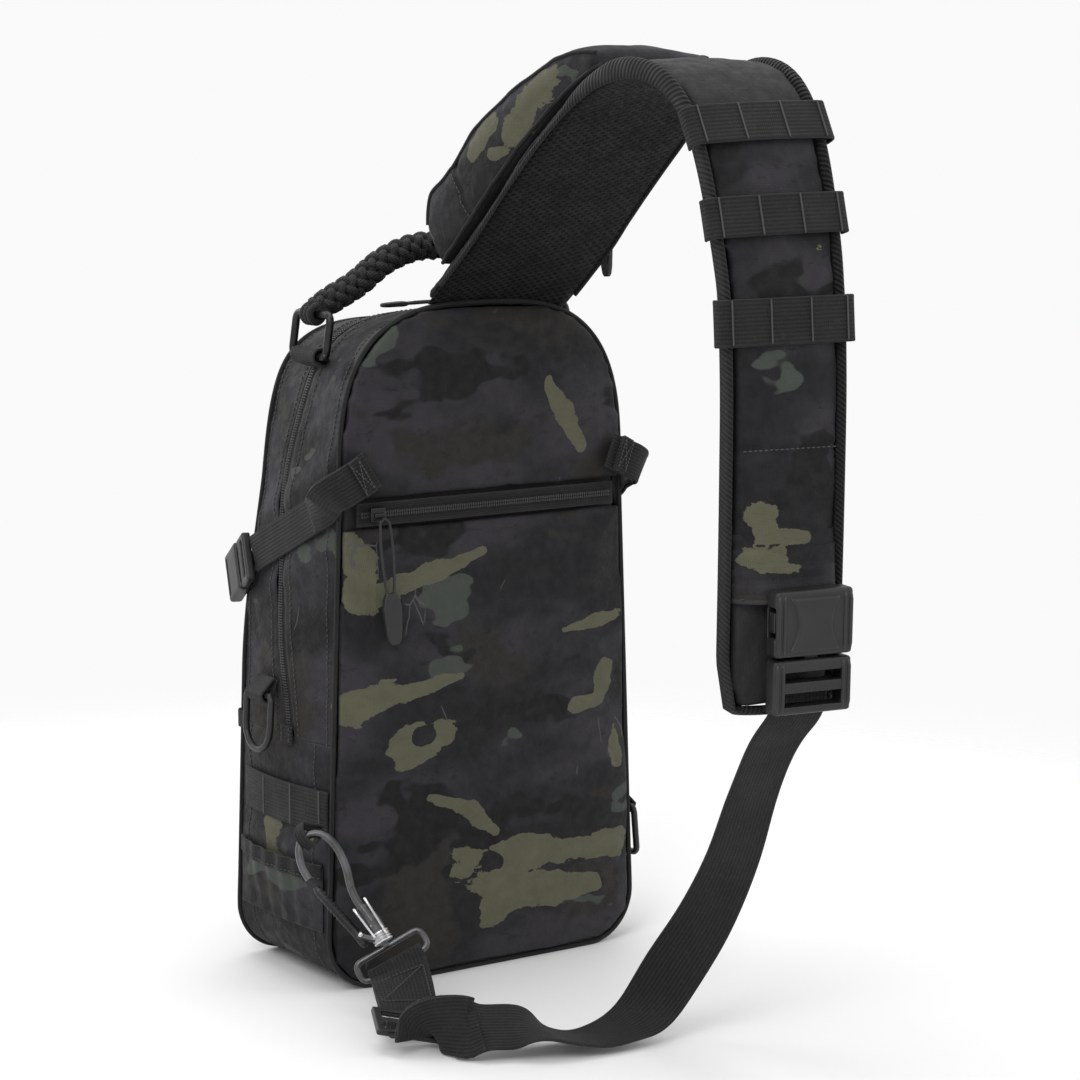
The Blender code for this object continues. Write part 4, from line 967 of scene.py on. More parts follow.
lower_arc = outline(0.0006, z_high=SPLIT_Z - 0.001, count=160)
upper_arc = outline(0.0006, z_low=SPLIT_Z + 0.001, count=240, front=True)
for edge_name, body, arc in (("lower", "bag", lower_arc), ("upper", "lid", upper_arc)):
    line = [(p[0], 0.0592, p[1]) for p in arc]
    place(tube("front_piping_" + edge_name, line, (0, 1, 0), round_section(0.0016, 8), WEB_FINE,
               weave_round=0.01), body, "webbing")

# The fold that joins the front's two panels where the lid turns, and the tabs over the ends of the main zip
fold_half = [(0.1206, 0.0500), (0.1205, 0.0575), (0.1200, 0.0604), (0.1180, 0.0624), (0.1130, 0.0632),
             (0.0600, 0.0634)]
fold_path = [(-x, y, SPLIT_Z) for x, y in fold_half] + [(x, y, SPLIT_Z) for x, y in fold_half[::-1]]
fold = tube("front_fold", spline(fold_path, 170), (0, 0, 1), strap_section(0.0120, 0.0010), WEB_FINE)
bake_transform(fold)

for side_name, s in (("left", -1), ("right", 1)):
    stop_z = SPLIT_Z + 0.0015
    stop_y = ZIP_Y + zip_shift(stop_z)
    ys = np.linspace(stop_y - 0.0066, stop_y + 0.0066, 12)
    path = [(gusset_x(y, stop_z, s) + s * 0.0026, y, stop_z) for y in ys]
    place(tube("zip_stop_" + side_name, path, (0, 0, 1), strap_section(0.0125, 0.0014), WEB), "bag",
          "webbing")
    for edge_name, row in (("rear", 2), ("front", 9)):
        line = [(path[row][0] + s * 0.0009, path[row][1], stop_z + v) for v in (-0.0050, 0.0050)]
        place(stitches("zip_stop_stitch_%s_%s" % (side_name, edge_name), line, (s, 0, 0)), "bag", "webbing")


def pocket(name, body, half_w, low, high, y_back, y_front, corner, zip_z, zip_half, rows):
    """A zipped pocket on the front, with webbing rows sewn across its face."""
    def ring(inset, y):
        points = []
        w = half_w - inset
        up, down = high - inset - corner, low + inset + 0.012
        for cx, cz, a0, r in ((w - corner, up, 0, corner), (-w + corner, up, 90, corner),
                              (-w + 0.012, down, 180, 0.012), (w - 0.012, down, 270, 0.012)):
            for a in np.radians(np.linspace(a0, a0 + 90, 8)):
                points.append((cx + r * math.cos(a), y, cz + r * math.sin(a)))
        return even(np.array(points + points[:1]), 120, closed=True)

    depth = y_front - y_back
    rings = [ring(0.0, y_back), ring(0.0, y_back + depth * 0.45), ring(0.0015, y_front - depth * 0.22),
             ring(0.006, y_front - 0.0008)]
    reach = min(half_w, (high - low) / 2) - 0.004
    rings += [ring(inset, y_front - 0.0004) for inset in np.linspace(0.012, reach, 7)]
    obj = make(name + "_fabric", np.concatenate(rings), loft_faces(len(rings), 120), CAMO)
    soften(obj, 0.0045, 2.5, 0.0022, lambda p: p[1] < y_back + 0.003,
           lambda p: (0.0009 * hum(p, 22, 6.0) + 0.0005 * hum(p, 60, 2.0)) if p[1] > y_back + 0.003 else 0.0)
    spots = coords(obj)
    near = (np.abs(spots[:, 2] - zip_z) < 0.0062) & (np.abs(spots[:, 0]) < zip_half + 0.002)
    spots[near, 1] = np.minimum(spots[near, 1], y_front - 0.0030)
    band = (spots[:, 1] > y_front - 0.004) & ~near
    spots[band, 1] = np.minimum(spots[band, 1], y_front + 0.0004)
    set_coords(obj, spots)
    place(obj, body, "camo_fabric", name)
    tape_y = y_front - 0.0012
    for part, s in (("below", -1), ("above", 1)):
        grid = [(x, tape_y, zip_z + s * v) for x in np.linspace(-zip_half, zip_half, 70)
                for v in (0.0002, 0.0022, 0.0044, 0.0062)]
        half = make(name + "_zip_" + part, grid, grid_faces(70, 4), WEB_FINE, [(p[0], p[2]) for p in grid])
        mod = shell(half, 0.0010)
        place(mod, body, "zip_tape", *((name + "_zip_tape",) if s < 0 else ()))
        line = [(x, tape_y + 0.0003, zip_z + s * 0.0010) for x in (-zip_half + 0.002, zip_half - 0.002)]
        place(teeth(name + "_coil_" + part, line, (0, 0, 1), (0, 1, 0), 0.0021), body, "zip_tape")
        seam = [(x, y_front + 0.0006, zip_z + s * 0.0088) for x in (-zip_half, zip_half)]
        place(stitches(name + "_stitch_" + part, seam, (0, 1, 0)), body, "camo_fabric")
    for k, z in enumerate(rows):
        xs = np.linspace(-half_w + 0.010, half_w - 0.010, 60)
        path = [(x, y_front + 0.0015 + 0.0003 * hum((x, 0, z), 50), z) for x in xs]
        strap = tube("%s_row_%d" % (name, k + 1), path, (0, 0, 1), SIDE_SECTION, WEB)
        place(strap, body, "webbing")
        for n, x in enumerate(np.linspace(-half_w + 0.013, half_w - 0.013, 5)):
            tack = [(x, y_front + 0.0025, z + v) for v in (-0.0115, 0.0115)]
            place(stitches("%s_tack_%d_%d" % (name, k + 1, n + 1), tack, (0, 1, 0), *TACK),
                  body, "webbing")


pocket("lower_pocket", "bag", 0.0935, 0.0265, 0.1565, 0.0632, 0.0796, 0.020, 0.134, 0.0744, (0.055, 0.094))
pocket("upper_pocket", "lid", 0.0735, 0.1885, 0.3615, 0.0632, 0.0768, 0.034, 0.318, 0.0514,
       (0.213, 0.252, 0.290))


# ---------------------------------------------------------------- shoulder pad
PAD_T, PAD_CAD = 0.0105, 46
PAD_PATH = [(0.0130, -0.0620, 0.4535), (0.0155, -0.0830, 0.4710), (0.0180, -0.1080, 0.4920),
            (0.0190, -0.1400, 0.5220), (0.0195, -0.1730, 0.5510), (0.0200, -0.2050, 0.5760),
            (0.0200, -0.2340, 0.5905), (0.0200, -0.2620, 0.5960), (0.0200, -0.2880, 0.5900),
            (0.0200, -0.3080, 0.5720), (0.0198, -0.3210, 0.5450), (0.0196, -0.3320, 0.5080),
            (0.0195, -0.3395, 0.4700), (0.0195, -0.3425, 0.4200), (0.0195, -0.3425, 0.3600),
            (0.0195, -0.3415, 0.2900), (0.0195, -0.3400, 0.2260)]
PAD_N = 226
pad_mid = spline(PAD_PATH, PAD_N)
pad_run = run_of(pad_mid)
pad_share = np.linspace(0, 1, PAD_N)
pad_width = np.interp(pad_share, (0, 0.08, 0.22, 0.32, 0.47, 0.62, 1.0),
                      (0.112, 0.115, 0.114, 0.107, 0.0865, 0.078, 0.077))
pad_turn = np.radians(np.interp(pad_share, (0, 0.3, 0.6, 1.0), (0, 0, 8, 8)))
pad_across = np.stack([np.cos(pad_turn), -np.sin(pad_turn), 0 * pad_turn], axis=1)


def pad_frame(i):
    ahead = unit(pad_mid[min(i + 3, PAD_N - 1)] - pad_mid[max(i - 3, 0)])
    side = unit(pad_across[i] - ahead * np.dot(pad_across[i], ahead))
    return ahead, side, np.cross(ahead, side)


def pad_point(i, across, out):
    """A point at a step along the pad, a distance across it and a height above its inner face."""
    _, side, away = pad_frame(i)
    point = pad_mid[i] + side * across + away * out
    step = i * (PAD_CAD - 1) / (PAD_N - 1)
    point[2] -= point[0] ** 2 / 0.62 * max(0.0, 1 - step / 5)
    return point


def pad_half(i):
    half = pad_width[i] / 2
    left = (PAD_N - 1 - i) / 12
    return half * (0.84 + 0.16 * math.sin(min(1.0, left) * math.pi / 2))


def pad_core():
    """The padded camouflage side of the strap."""
    rings = []
    for i in [0, *range(0, PAD_N, 3), PAD_N - 1]:
        half = pad_half(i) - 0.0030 + 0.0016 * (1 - np.clip((i - 70) / 30, 0, 1))
        form = [(-1.0, 0.0032), (-0.5, 0.0027), (0, 0.0026), (0.5, 0.0027), (1.0, 0.0032), (1.0, 0.0082),
                (0.93, 0.0100), (0.6, 0.0112), (0.3, 0.0118), (0, 0.0120), (-0.3, 0.0118), (-0.6, 0.0112),
                (-0.93, 0.0100), (-1.0, 0.0082)]
        tuck = pad_frame(0)[0] * (0.0070 if not rings else 0.0)
        rings.append([pad_point(i, u * half, v) - tuck for u, v in form])
    return make("pad_fabric", np.concatenate(rings), loft_faces(len(rings), len(form)), CAMO)


inner_line = np.array([pad_mid[i] + pad_frame(i)[2] * 0.0055 for i in range(PAD_N)])
inner_out = np.array([pad_frame(i)[2] for i in range(PAD_N)])


def pad_height(p):
    """(step along the pad, height above its middle layer) of a point."""
    i = int(np.argmin(((inner_line - p) ** 2).sum(axis=1)))
    return i, float(np.dot(p - inner_line[i], inner_out[i]))


# Where the pad's seams lie and its plain runs begin and end, as shares of its length
SEAMS = (0.767, 0.902)
PLAIN_RUNS = ((0.335, 0.470), (0.903, 1.01))


def pad_wrinkle(p):
    i, high = pad_height(p)
    if high < 0.0005:
        return 0.0
    height = 0.0009 * hum(p, 24, 3.0) + 0.0005 * hum(p, 70, 1.0)
    run = pad_run[i] / pad_run[-1]
    return height + sum(-0.0016 * math.exp(-((run - s) / 0.006) ** 2) for s in SEAMS)


core = paint(soften(pad_core(), 0.0045, 4.0, 0.0030, lambda p: pad_height(p)[1] < -0.0005, pad_wrinkle))
core.data.materials.append(PLAIN)
for face in core.data.polygons:
    run = pad_run[pad_height(np.array(face.center))[0]] / pad_run[-1]
    face.material_index = int(any(low < run < high for low, high in PLAIN_RUNS))
place(core, "bag", "camo_fabric", "shoulder_pad")
for k, s in enumerate(SEAMS):
    i = int(s * (PAD_N - 1))
    line = [pad_point(i, u * (pad_half(i) - 0.006), 0.0138) for u in np.linspace(-1, 1, 12)]
    place(stitches("pad_seam_%d" % (k + 1), line, pad_frame(i)[2]), "bag", "camo_fabric")

cols = 21
grid, weave = [], []
for i in range(-3, PAD_N):
    half = pad_half(max(i, 0)) - 0.0014
    for u in np.linspace(-1, 1, cols):
        rim_drop = 0.0010 * (1 - math.exp(-(1 - abs(u)) * half / 0.004))
        soft = 0.0004 * hum((pad_run[max(i, 0)], u * half, 0), 30)
        tuck = pad_frame(0)[0] * min(i, 0) * 0.0027
        grid.append(pad_point(max(i, 0), u * half, 0.0012 - rim_drop + soft) + tuck)
        weave.append((pad_run[max(i, 0)] + min(i, 0) * 0.0027, u * half))
net = make("pad_net", grid, grid_faces(PAD_N + 3, cols), MESH, weave)
shell(net, 0.0012)
net.modifiers["thickness"].offset = 1
place(net, "bag", "spacer_mesh", "pad_mesh")


def bound_edge():
    """Middle and way across of the binding, down one side, round the end and up the other."""
    points, across = [], []
    for i in range(4, PAD_N - 8, 2):
        points.append(pad_point(i, -pad_half(i), 0.0056))
        across.append(pad_frame(i)[1])
    last = PAD_N - 1
    ahead, side, _ = pad_frame(last)
    for a in np.linspace(-1, 1, 26):
        reach = 0.0030 * math.cos(a * math.pi / 2) ** 0.5 if abs(a) < 1 else 0.0
        points.append(pad_point(last, a * pad_width[last] / 2 * 0.86, 0.0056) + ahead * reach)
        across.append(unit(-ahead * math.cos(a * math.pi / 2) - side * math.sin(a * math.pi / 2)))
    for i in range(PAD_N - 8, 3, -2):
        points.append(pad_point(i, pad_half(i), 0.0056))
        across.append(-pad_frame(i)[1])
    return np.array(points), np.array(across)


edge_points, edge_across = bound_edge()
edge_sections = []
for k, point in enumerate(edge_points):
    full = float(np.clip((-point[1] - 0.195) / 0.050, 0.0, 1.0)) ** 0.7
    out = pad_frame(pad_height(point)[0])[2]
    edge_points[k] = point - out * (0.0040 * (1 - full))
    wide, tall = 0.0015 + 0.0011 * full, 0.0016 + 0.0050 * full
    edge_sections.append([(u * wide, v * tall) for u, v in round_section(1.0, 16)])
binding = tube("pad_edge_binding", edge_points, edge_across, edge_sections, ROPE, weave_round=0.030)
place(binding, "bag", "webbing", "pad_binding")


def pad_wrap(number, middle, length):
    """Webbing band across the pad's outer face, sewn down at both edges."""
    at = pad_run[-1] * middle
    i = int(np.argmin(np.abs(pad_run - at)))
    half = pad_half(i) + 0.0068
    lift = PAD_T + 0.0024
    rows = [(-0.99, PAD_T * 0.42), (-1.0, PAD_T * 0.8), (-0.985, PAD_T + 0.0012), (-0.90, lift + 0.0006),
            (-0.45, lift + 0.0020), (0, lift + 0.0026), (0.45, lift + 0.0020), (0.90, lift + 0.0006),
            (0.985, PAD_T + 0.0012), (1.0, PAD_T * 0.8), (0.99, PAD_T * 0.42)]
    ahead, side, out = pad_frame(i)
    centre = np.array([np.interp(at, pad_run, pad_mid[:, k]) for k in range(3)])
    path = spline([centre + side * u * half + out * v for u, v in rows], 60)
    band = tube("pad_webbing_%d" % number, path, ahead, strap_section(length, WEB_T, 0.0001), WEB)
    place(band, "bag", "webbing", "pad_band_%d" % number)
    for k, u in enumerate((-0.86, -0.30, 0.30, 0.86)):
        mid = centre + side * u * half + out * (lift + 0.0034 - 0.0020 * abs(u) ** 2)
        tack = [mid + ahead * v for v in (-length * 0.46, length * 0.46)]
        place(stitches("pad_tack_%d_%d" % (number, k + 1), tack, out, *TACK), "bag", "webbing")


pad_wrap(1, 0.478, 0.0250)
pad_wrap(2, 0.560, 0.0245)
pad_wrap(3, 0.6515, 0.0280)


def snap(points, obj, lift):
    """The points moved onto an object's surface, standing just proud of it."""
    tree = BVHTree.FromPolygons([tuple(v) for v in coords(obj)],
                                [tuple(f.vertices) for f in obj.data.polygons])
    moved = []
    for point in points:
        near, normal, _, _ = tree.find_nearest(Vector(point))
        moved.append(np.array(near) + np.array(normal) * lift)
    return np.array(moved)


POUCH_FIRST, POUCH_LAST = 5, 75


def pouch_tall(f):
    """Height of the strap pocket above the pad, from its root to the crest."""
    rise = min(1.0, (f + 0.10) / 0.18) ** 0.8
    fall = max(0.0, 1 - max(0.0, f - 0.43) / 0.59) ** 0.46
    return 0.0014 + 0.0515 * rise * fall


def pouch_point(i, u, v, inset=0.0):
    """A point on the strap pocket: across it from -1 to 1, and up it as a share of its height."""
    f = (i - POUCH_FIRST) / (POUCH_LAST - POUCH_FIRST)
    half = pad_width[i] / 2 - (0.0002 + 0.0050 * f ** 3 if u < 0 else 0.0050 + 0.0040 * f ** 3) - inset
    return pad_point(i, u * half, PAD_T + 0.0026 + v * (pouch_tall(f) - inset))


def strap_pocket():
    """Bulging zipped pocket on the outer face of the rising part of the pad."""
    rings = []
    for i in [*range(POUCH_FIRST, POUCH_LAST, 2), POUCH_LAST]:
        low = 1 - 0.22 * (i - POUCH_FIRST) / (POUCH_LAST - POUCH_FIRST)
        form = [(-1, 0), (-0.5, 0), (0, 0), (0.5, 0), (1, 0), (1, 0.35 * low), (1, 0.70 * low),
                (0.97, 0.82 * low), (0.90, 0.92 * low), (0.66, low), (0.33, 0.5 + low * 0.5), (0, 1.02),
                (-0.36, 1.02), (-0.72, 1.0), (-0.88, 0.97), (-0.96, 0.90), (-1, 0.70), (-1, 0.35)]
        rings.append([pouch_point(i, u, v, 0.0016) for u, v in form])
    return make("strap_pocket_fabric", np.concatenate(rings), loft_faces(len(rings), len(form)), CAMO_SHADED)


def pouch_wrinkle(p):
    i, high = pad_height(p)
    if high < 0.009:
        return 0.0
    seam = 0.0014 * math.exp(-((i - 22 - high * 60) / 1.1) ** 2)
    return 0.0012 * hum(p, 24, 8.0) + 0.0006 * hum(p, 64, 4.0) - seam


pouch = paint(soften(strap_pocket(), 0.0045, 4.0, 0.0024, lambda p: pad_height(p)[1] < 0.009, pouch_wrinkle))
place(pouch, "bag", "camo_fabric", "strap_pocket")

# Zip down the pocket's right side, the piping round its top and the seam across its left side
steps = range(12, 66, 2)
zip_line = [pouch_point(i, 1.0, min(0.5, 0.0128 / pouch_tall((i - 5) / 70))) for i in steps]
zip_line = snap(zip_line, pouch, 0.0006)
zip_out = np.array([pad_frame(i)[1] for i in steps])
zip_across = np.array([pad_frame(i)[2] for i in steps])
tape = tube("strap_pocket_tape", zip_line, zip_across, strap_section(0.0120, 0.0010), WEB_FINE)
place(tape, "bag", "zip_tape")
place(teeth("strap_pocket_coil", zip_line + zip_out * 0.0006, zip_across, zip_out, 0.0040), "bag",
      "zip_tape")
for side_name, u, v in (("left", -0.985, 0.86), ("right", 0.985, 0.70)):
    line = snap([pouch_point(i, u, v) for i in range(6, 75, 2)], pouch, 0.0004)
    place(tube("strap_pocket_piping_" + side_name, spline(line, 120), (0, 1, 0), round_section(0.0013, 8),
               WEB_FINE, weave_round=0.008), "bag", "webbing")
foot = snap([pouch_point(i, -1.0, 0.03) for i in range(5, 76, 2)], pouch, 0.0001)
place(tube("strap_pocket_foot", spline(foot, 120), (0, 1, 0), round_section(0.0014, 8), WEB_FINE,
           weave_round=0.008), "bag", "webbing")
seam_line = [pouch_point(int(22 + 60 * v * 0.045), -1.0, v) for v in np.linspace(0.05, 0.80, 10)]
seam_line = snap(seam_line, pouch, 0.0002)
place(stitches("strap_pocket_seam", seam_line, -pad_frame(22)[1]), "bag", "camo_fabric")


def compression(side_name, s):
    """25 mm webbing from the back seam round the gusset to its buckle at the front corner."""
    points = [(s * 0.0950, -0.0722, 0.3470), (s * 0.1070, -0.0724, 0.3405),
              (s * 0.1184, -0.0718, 0.3350), (s * 0.1222, -0.0630, 0.3300)]
    for y in np.linspace(-0.0500, 0.0400, 7):
        z = strap_line(y)
        lift = 0.0026 + max(0.0, y) * 0.12 + max(0.0, -0.03 - y) * 0.20
        points.append((gusset_x(y, z, s) + s * lift, y, z))
    coarse = spline(points, 22)
    across = []
    for i in range(22):
        t = unit(coarse[min(i + 1, 21)] - coarse[max(i - 1, 0)])
        out = np.array([s, 0.0, 0]) if coarse[i][1] > -0.05 else np.array([s * 0.4, -1.0, 0])
        across.append(np.cross(t, out))
    across = np.array(across)
    for _ in range(3):
        across[1:-1] = (across[:-2] + across[1:-1] * 2 + across[2:]) / 4
    path = spline(coarse, 110)
    wide = rows_at(across, 110)
    strap = tube("comp_webbing_" + side_name, path, wide, SIDE_SECTION, WEB)
    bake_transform(strap)
    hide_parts("comp_strap_" + side_name)

    # The loose end, doubled back over the strap and hemmed
    t = np.gradient(path, axis=0)
    over = np.array([unit(np.cross(wide[i], t[i])) for i in range(110)])
    if np.dot(over[60], (s, 0, 0)) < 0:
        over = -over
    pick = slice(4, 50)
    arch = 0.0021 + 0.0010 * np.sin(np.linspace(0, math.pi, 46))
    tail = path[pick] + over[pick] * arch[:, None]
    end = tube("comp_tail_" + side_name, tail, wide[pick], SIDE_SECTION, WEB)
    place(end, "bag", "webbing")
    hem = path[4:11] + over[4:11] * 0.0040
    thick = strap_section(SIDE_WEB * 1.01, 0.0018, 0.0001)
    place(tube("comp_hem_" + side_name, hem, wide[4:11], thick, WEB), "bag", "webbing")
    face = path + over * 0.0052
    (near_a, near_b), (far_a, far_b) = [(face[i] + unit(wide[i]) * 0.0105, face[i] - unit(wide[i]) * 0.0105)
                                        for i in (5, 10)]
    lines = {"a": (near_a, near_b), "b": (far_a, far_b), "c": (near_a, far_b), "d": (near_b, far_a)}
    for key, line in lines.items():
        place(stitches("comp_stitch_%s_%s" % (side_name, key), line, over[7], *BOX_STITCH), "bag", "webbing")

    end = coarse[-1]
    along = unit(np.array([-s * 0.20, 0.84, -0.50]))
    out = unit(np.array([s * 0.95, 0.30, 0]))
    side = unit(np.cross(along, out))
    out = np.cross(side, along)
    if np.dot(out, (s, 0, 0)) < 0:
        out = -out
    start = end + along * 0.0490 + out * 0.0032
    web = [tuple(start), tuple(start + along * 0.005), (s * 0.1050, 0.0870, start[2] - 0.0060),
           (s * 0.0930, 0.0770, start[2] - 0.0100), (s * 0.0850, 0.0664, start[2] - 0.0130),
           (s * 0.0770, 0.0650, start[2] - 0.0150)]
    ac = [side] * 2 + [unit(side * (1 - f) + np.array([0.15 * s, 0, -1.0]) * np.sign(-side[2]) * -1 * f)
                       for f in np.linspace(0.3, 1, 8)]
    tab = tube("comp_anchor_" + side_name, spline(web, 40), rows_at(ac, 40), SIDE_SECTION, WEB)
    place(tab, "lid", "webbing", "comp_tab_" + side_name)
    for part in ("male", "female"):
        cast("comp_%s_%s" % (part, side_name), 0.0006, PLASTIC, "moulded_plastic", "lid")


for side_name, s in (("left", -1), ("right", 1)):
    compression(side_name, s)


# ---------------------------------------------------------------- sides
band_z = 0.1210
path = [(gusset_x(y, band_z) - 0.0006 - WEB_T / 2, y, band_z) for y in np.linspace(-0.0560, 0.0470, 50)]
place(tube("side_webbing_left", path, (0, 0, 1), strap_section(0.0280, WEB_T, 0.0001), WEB), "bag",
      "webbing", "side_band_left")
for k, y in enumerate((-0.050, -0.020, 0.014)):
    tack = [(gusset_x(y, band_z) - 0.0034, y, band_z + v) for v in (-0.013, 0.013)]
    place(stitches("side_tack_%d" % (k + 1), tack, (-1, 0, 0), *TACK), "bag", "webbing")


def side_pocket():
    """Slip pocket with gathered folds and a bound top edge."""
    ys = np.linspace(-0.0525, 0.0525, 60)
    zs = np.linspace(0.0400, 0.0835, 30)
    points, weave = [], []
    for i, z in enumerate(zs):
        f = i / (len(zs) - 1)
        for y in ys:
            bulge = 0.0035 * (1 - (y / 0.0525) ** 4) * (0.4 + 0.6 * f)
            turn = y * 2 * math.pi / 0.017 + 1.5 * hum((0, y, z), 20)
            fold = 0.0011 * math.sin(turn) * (1 - (y / 0.0525) ** 2)
            soft = 0.0009 * hum((0, y, z), 38, 4.0)
            points.append((gusset_x(y, z) - 0.0018 - bulge - fold * (0.4 + 0.6 * f) - soft, y, z))
            weave.append((y, z))
    obj = make("side_pocket_fabric", points, grid_faces(30, 60), CAMO, weave)
    shell(obj, 0.0013)
    place(obj, "bag", "camo_fabric", "side_pocket")
    top = np.array(points[-60:])
    place(tube("side_pocket_hem", top + (-0.0004, 0, -0.0030), (0, 0, 1),
               strap_section(0.0110, 0.0016, 0.0001), WEB_FINE), "bag", "webbing")
    seam = top + (-0.0014, 0, -0.0065)
    place(stitches("side_pocket_stitch", seam, (-1, 0, 0)), "bag", "webbing")


side_pocket()


def loop_strap(name, bar, out, along, width, clear, legs):
    """Short webbing loop folded round a bar; its two legs run back to the body."""
    b, o, a = np.asarray(bar, float), unit(out), unit(along)
    side = np.cross(a, o)
    r = clear + WEB_T / 2
    points = [b + o * r * math.cos(t) + side * r * math.sin(t) for t in np.linspace(-1.35, 1.35, 11)]
    foot = b - o * legs
    points = [foot - side * 0.0013, *points, foot + side * 0.0013]
    return tube(name, spline(points, 50), a, strap_section(width, WEB_T, 0.0001), WEB)


ring_left = np.array([gusset_x(0.012, 0.192) - 0.0088, 0.0135, 0.1905])
place(loop_strap("ring_loop_left", ring_left, (-0.55, 0, -0.84), (0, 1, 0), 0.0220, 0.0034, 0.0125), "lid",
      "webbing", "d_ring_loop_left")
ring_right = np.array([gusset_x(-0.030, 0.0985, 1) + 0.0092, -0.034, 0.0900])
place(loop_strap("ring_loop_right", ring_right, (0.55, 0, -0.84), (0, 1, 0), 0.0240, 0.0034, 0.0130), "bag",
      "webbing", "side_ring_loop_right")
cast("d_ring_left", 0.0005, PLASTIC, "moulded_plastic", "ring_left")
cast("side_ring_right", 0.0005, PLASTIC, "moulded_plastic", "ring_right")

low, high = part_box("base_panel")
base = panel_form("base_fabric", [(x, z) for x, z in even(np.array(
    [(low.x, low.y), (high.x, low.y), (high.x, high.y), (low.x, high.y), (low.x, low.y)]), 120, True)],
    0.0, 0.0010, 1, 0.0006, WEB_FINE, 8)
spots = coords(base)
set_coords(base, np.stack([spots[:, 0], spots[:, 2], spots[:, 1] + low.z], axis=1))
place(base, "bag", "webbing", "base_panel")


# ---------------------------------------------------------------- carry handle
ring_low = np.array([-0.0975, 0.0, 0.4150])
ring_high = np.array([-0.0935, 0.0, 0.4425])
HANDLE_PATH = [(-0.0935, 0, 0.4440), (-0.0800, 0, 0.4510), (-0.0600, 0, 0.4610), (-0.0400, 0, 0.4745),
               (-0.0180, 0, 0.4825), (0.0, 0, 0.4840), (0.0180, 0, 0.4825), (0.0400, 0, 0.4745),
               (0.0600, 0, 0.4610), (0.0800, 0, 0.4510), (0.0935, 0, 0.4440)]


def braid(name, path, radius, strand, weave_out, turns, plies):
    """Cords wound both ways round a path, over one and under the next."""
    path = spline(path, 260)
    pieces = []
    t = np.gradient(path, axis=0)
    for k in range(plies * 2):
        way = 1 if k < plies else -1
        line = []
        for i, c in enumerate(path):
            f = i / (len(path) - 1)
            turn = way * turns * 2 * math.pi * f + 2 * math.pi * (k % plies) / plies
            ahead = unit(t[i])
            side = np.array([0, 1.0, 0])
            up = np.cross(ahead, side)
            r = radius + way * weave_out * math.cos(plies * turns * 2 * math.pi * f)
            r *= 0.80 + 0.20 * math.sin(min(1.0, f * 12, (1 - f) * 12) * math.pi / 2)
            line.append(c + (side * math.cos(turn) + up * 0.88 * math.sin(turn)) * r)
        pieces.append(tube("%s_%d" % (name, k + 1), line, (0, 0.3, 1), round_section(strand, 8), CORD,
                           weave_round=0.012))
    return pieces


for k, piece in enumerate(braid("handle_cord", HANDLE_PATH, 0.0066, 0.0031, 0.0013, 5.5, 4)):
    place(piece, "handle", "braided_cord", *(("carry_handle",) if k == 0 else ()))
place(tube("handle_core", spline(HANDLE_PATH, 120), (0, 1, 0), round_section(0.0058, 10, 0.9), CORD,
           weave_round=0.03), "handle", "braided_cord")
for name, s in (("left", -1), ("right", 1)):
    bar = ring_high * (-s, 1, 1)
    wrap = []
    for a in np.linspace(0, 3 * 2 * math.pi, 110):
        y = -0.0066 + 0.0132 * a / (6 * math.pi)
        wrap.append(bar + (0.0055 * math.cos(a), y, 0.0055 * math.sin(a)))
    place(tube("handle_wrap_" + name, wrap, (0, 1, 0), round_section(0.0026, 8), CORD, weave_round=0.012),
          "handle", "braided_cord")
    cast("handle_ring_" + name, 0.0005, METAL, "dark_metal", "handle")
    low = ring_low * (-s, 1, 1)
    loop = loop_strap("handle_webbing_" + name, low, (s * 0.75, 0, 0.66), (0, 1, 0), 0.0300, 0.0042, 0.0095)
    foot = low - unit((s * 0.75, 0, 0.66)) * 0.0064
    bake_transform(loop)
    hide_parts("handle_loop_" + name)


# ---------------------------------------------------------------- main buckle
bk_down = unit(pad_mid[-1] - pad_mid[-36])
_, bk_side, _ = pad_frame(PAD_N - 16)
bk_out = np.cross(bk_down, bk_side)
bk_top = np.array([0.0240, -0.3642, 0.3000])


def bk(u, v, w):
    """Point in the buckle's own axes: across, down, out."""
    return bk_top + bk_side * u + bk_down * v + bk_out * w


for node, voxel, body in (("buckle_female", 0.0006, "bag"), ("buckle_male", 0.0006, "bag"),
                          ("buckle_arm_left", 0.0005, "arm_left"), ("buckle_arm_right", 0.0005, "arm_right")):
    cast(node, voxel, PLASTIC, "moulded_plastic", body)
for s in (-1, 1):
    for k, u in enumerate((0.0246, 0.0208)):
        for part, top, bottom in (("female", 0.0035, 0.0390), ("male", 0.0445, 0.0735)):
            proud = 0.0116 if part == "female" else 0.0110
            rib = [bk(s * u, v, proud) for v in np.linspace(top, bottom, 16)]
            radii = [0.0014 * min(1, 0.45 + 0.3 * i, 0.45 + 0.3 * (15 - i)) for i in range(16)]
            fade = [round_section(r, 10) for r in radii]
            ribbed = tube("buckle_%s_rib_%d" % (part, 2 * k + (s > 0)), rib, bk_side, fade, PLASTIC)
            place(ribbed, "bag", "moulded_plastic")
plate = []
for v in np.linspace(0.0050, 0.0385, 30):
    reach = 0.0122 + 0.0058 * ((v - 0.0215) / 0.0165) ** 2
    for u in np.linspace(-1, 1, 25):
        rim = min(1.0, (1 - abs(u)) * reach / 0.0012, (v - 0.0050) / 0.0012, (0.0385 - v) / 0.0012)
        plate.append(bk(u * reach, v, 0.0114 + 0.0020 * max(0.0, rim) ** 0.5 - 0.0006 * (1 - u * u)))
raised = make("buckle_face", plate, grid_faces(30, 25), PLASTIC)
place(raised, "bag", "moulded_plastic")
flap_rows = []
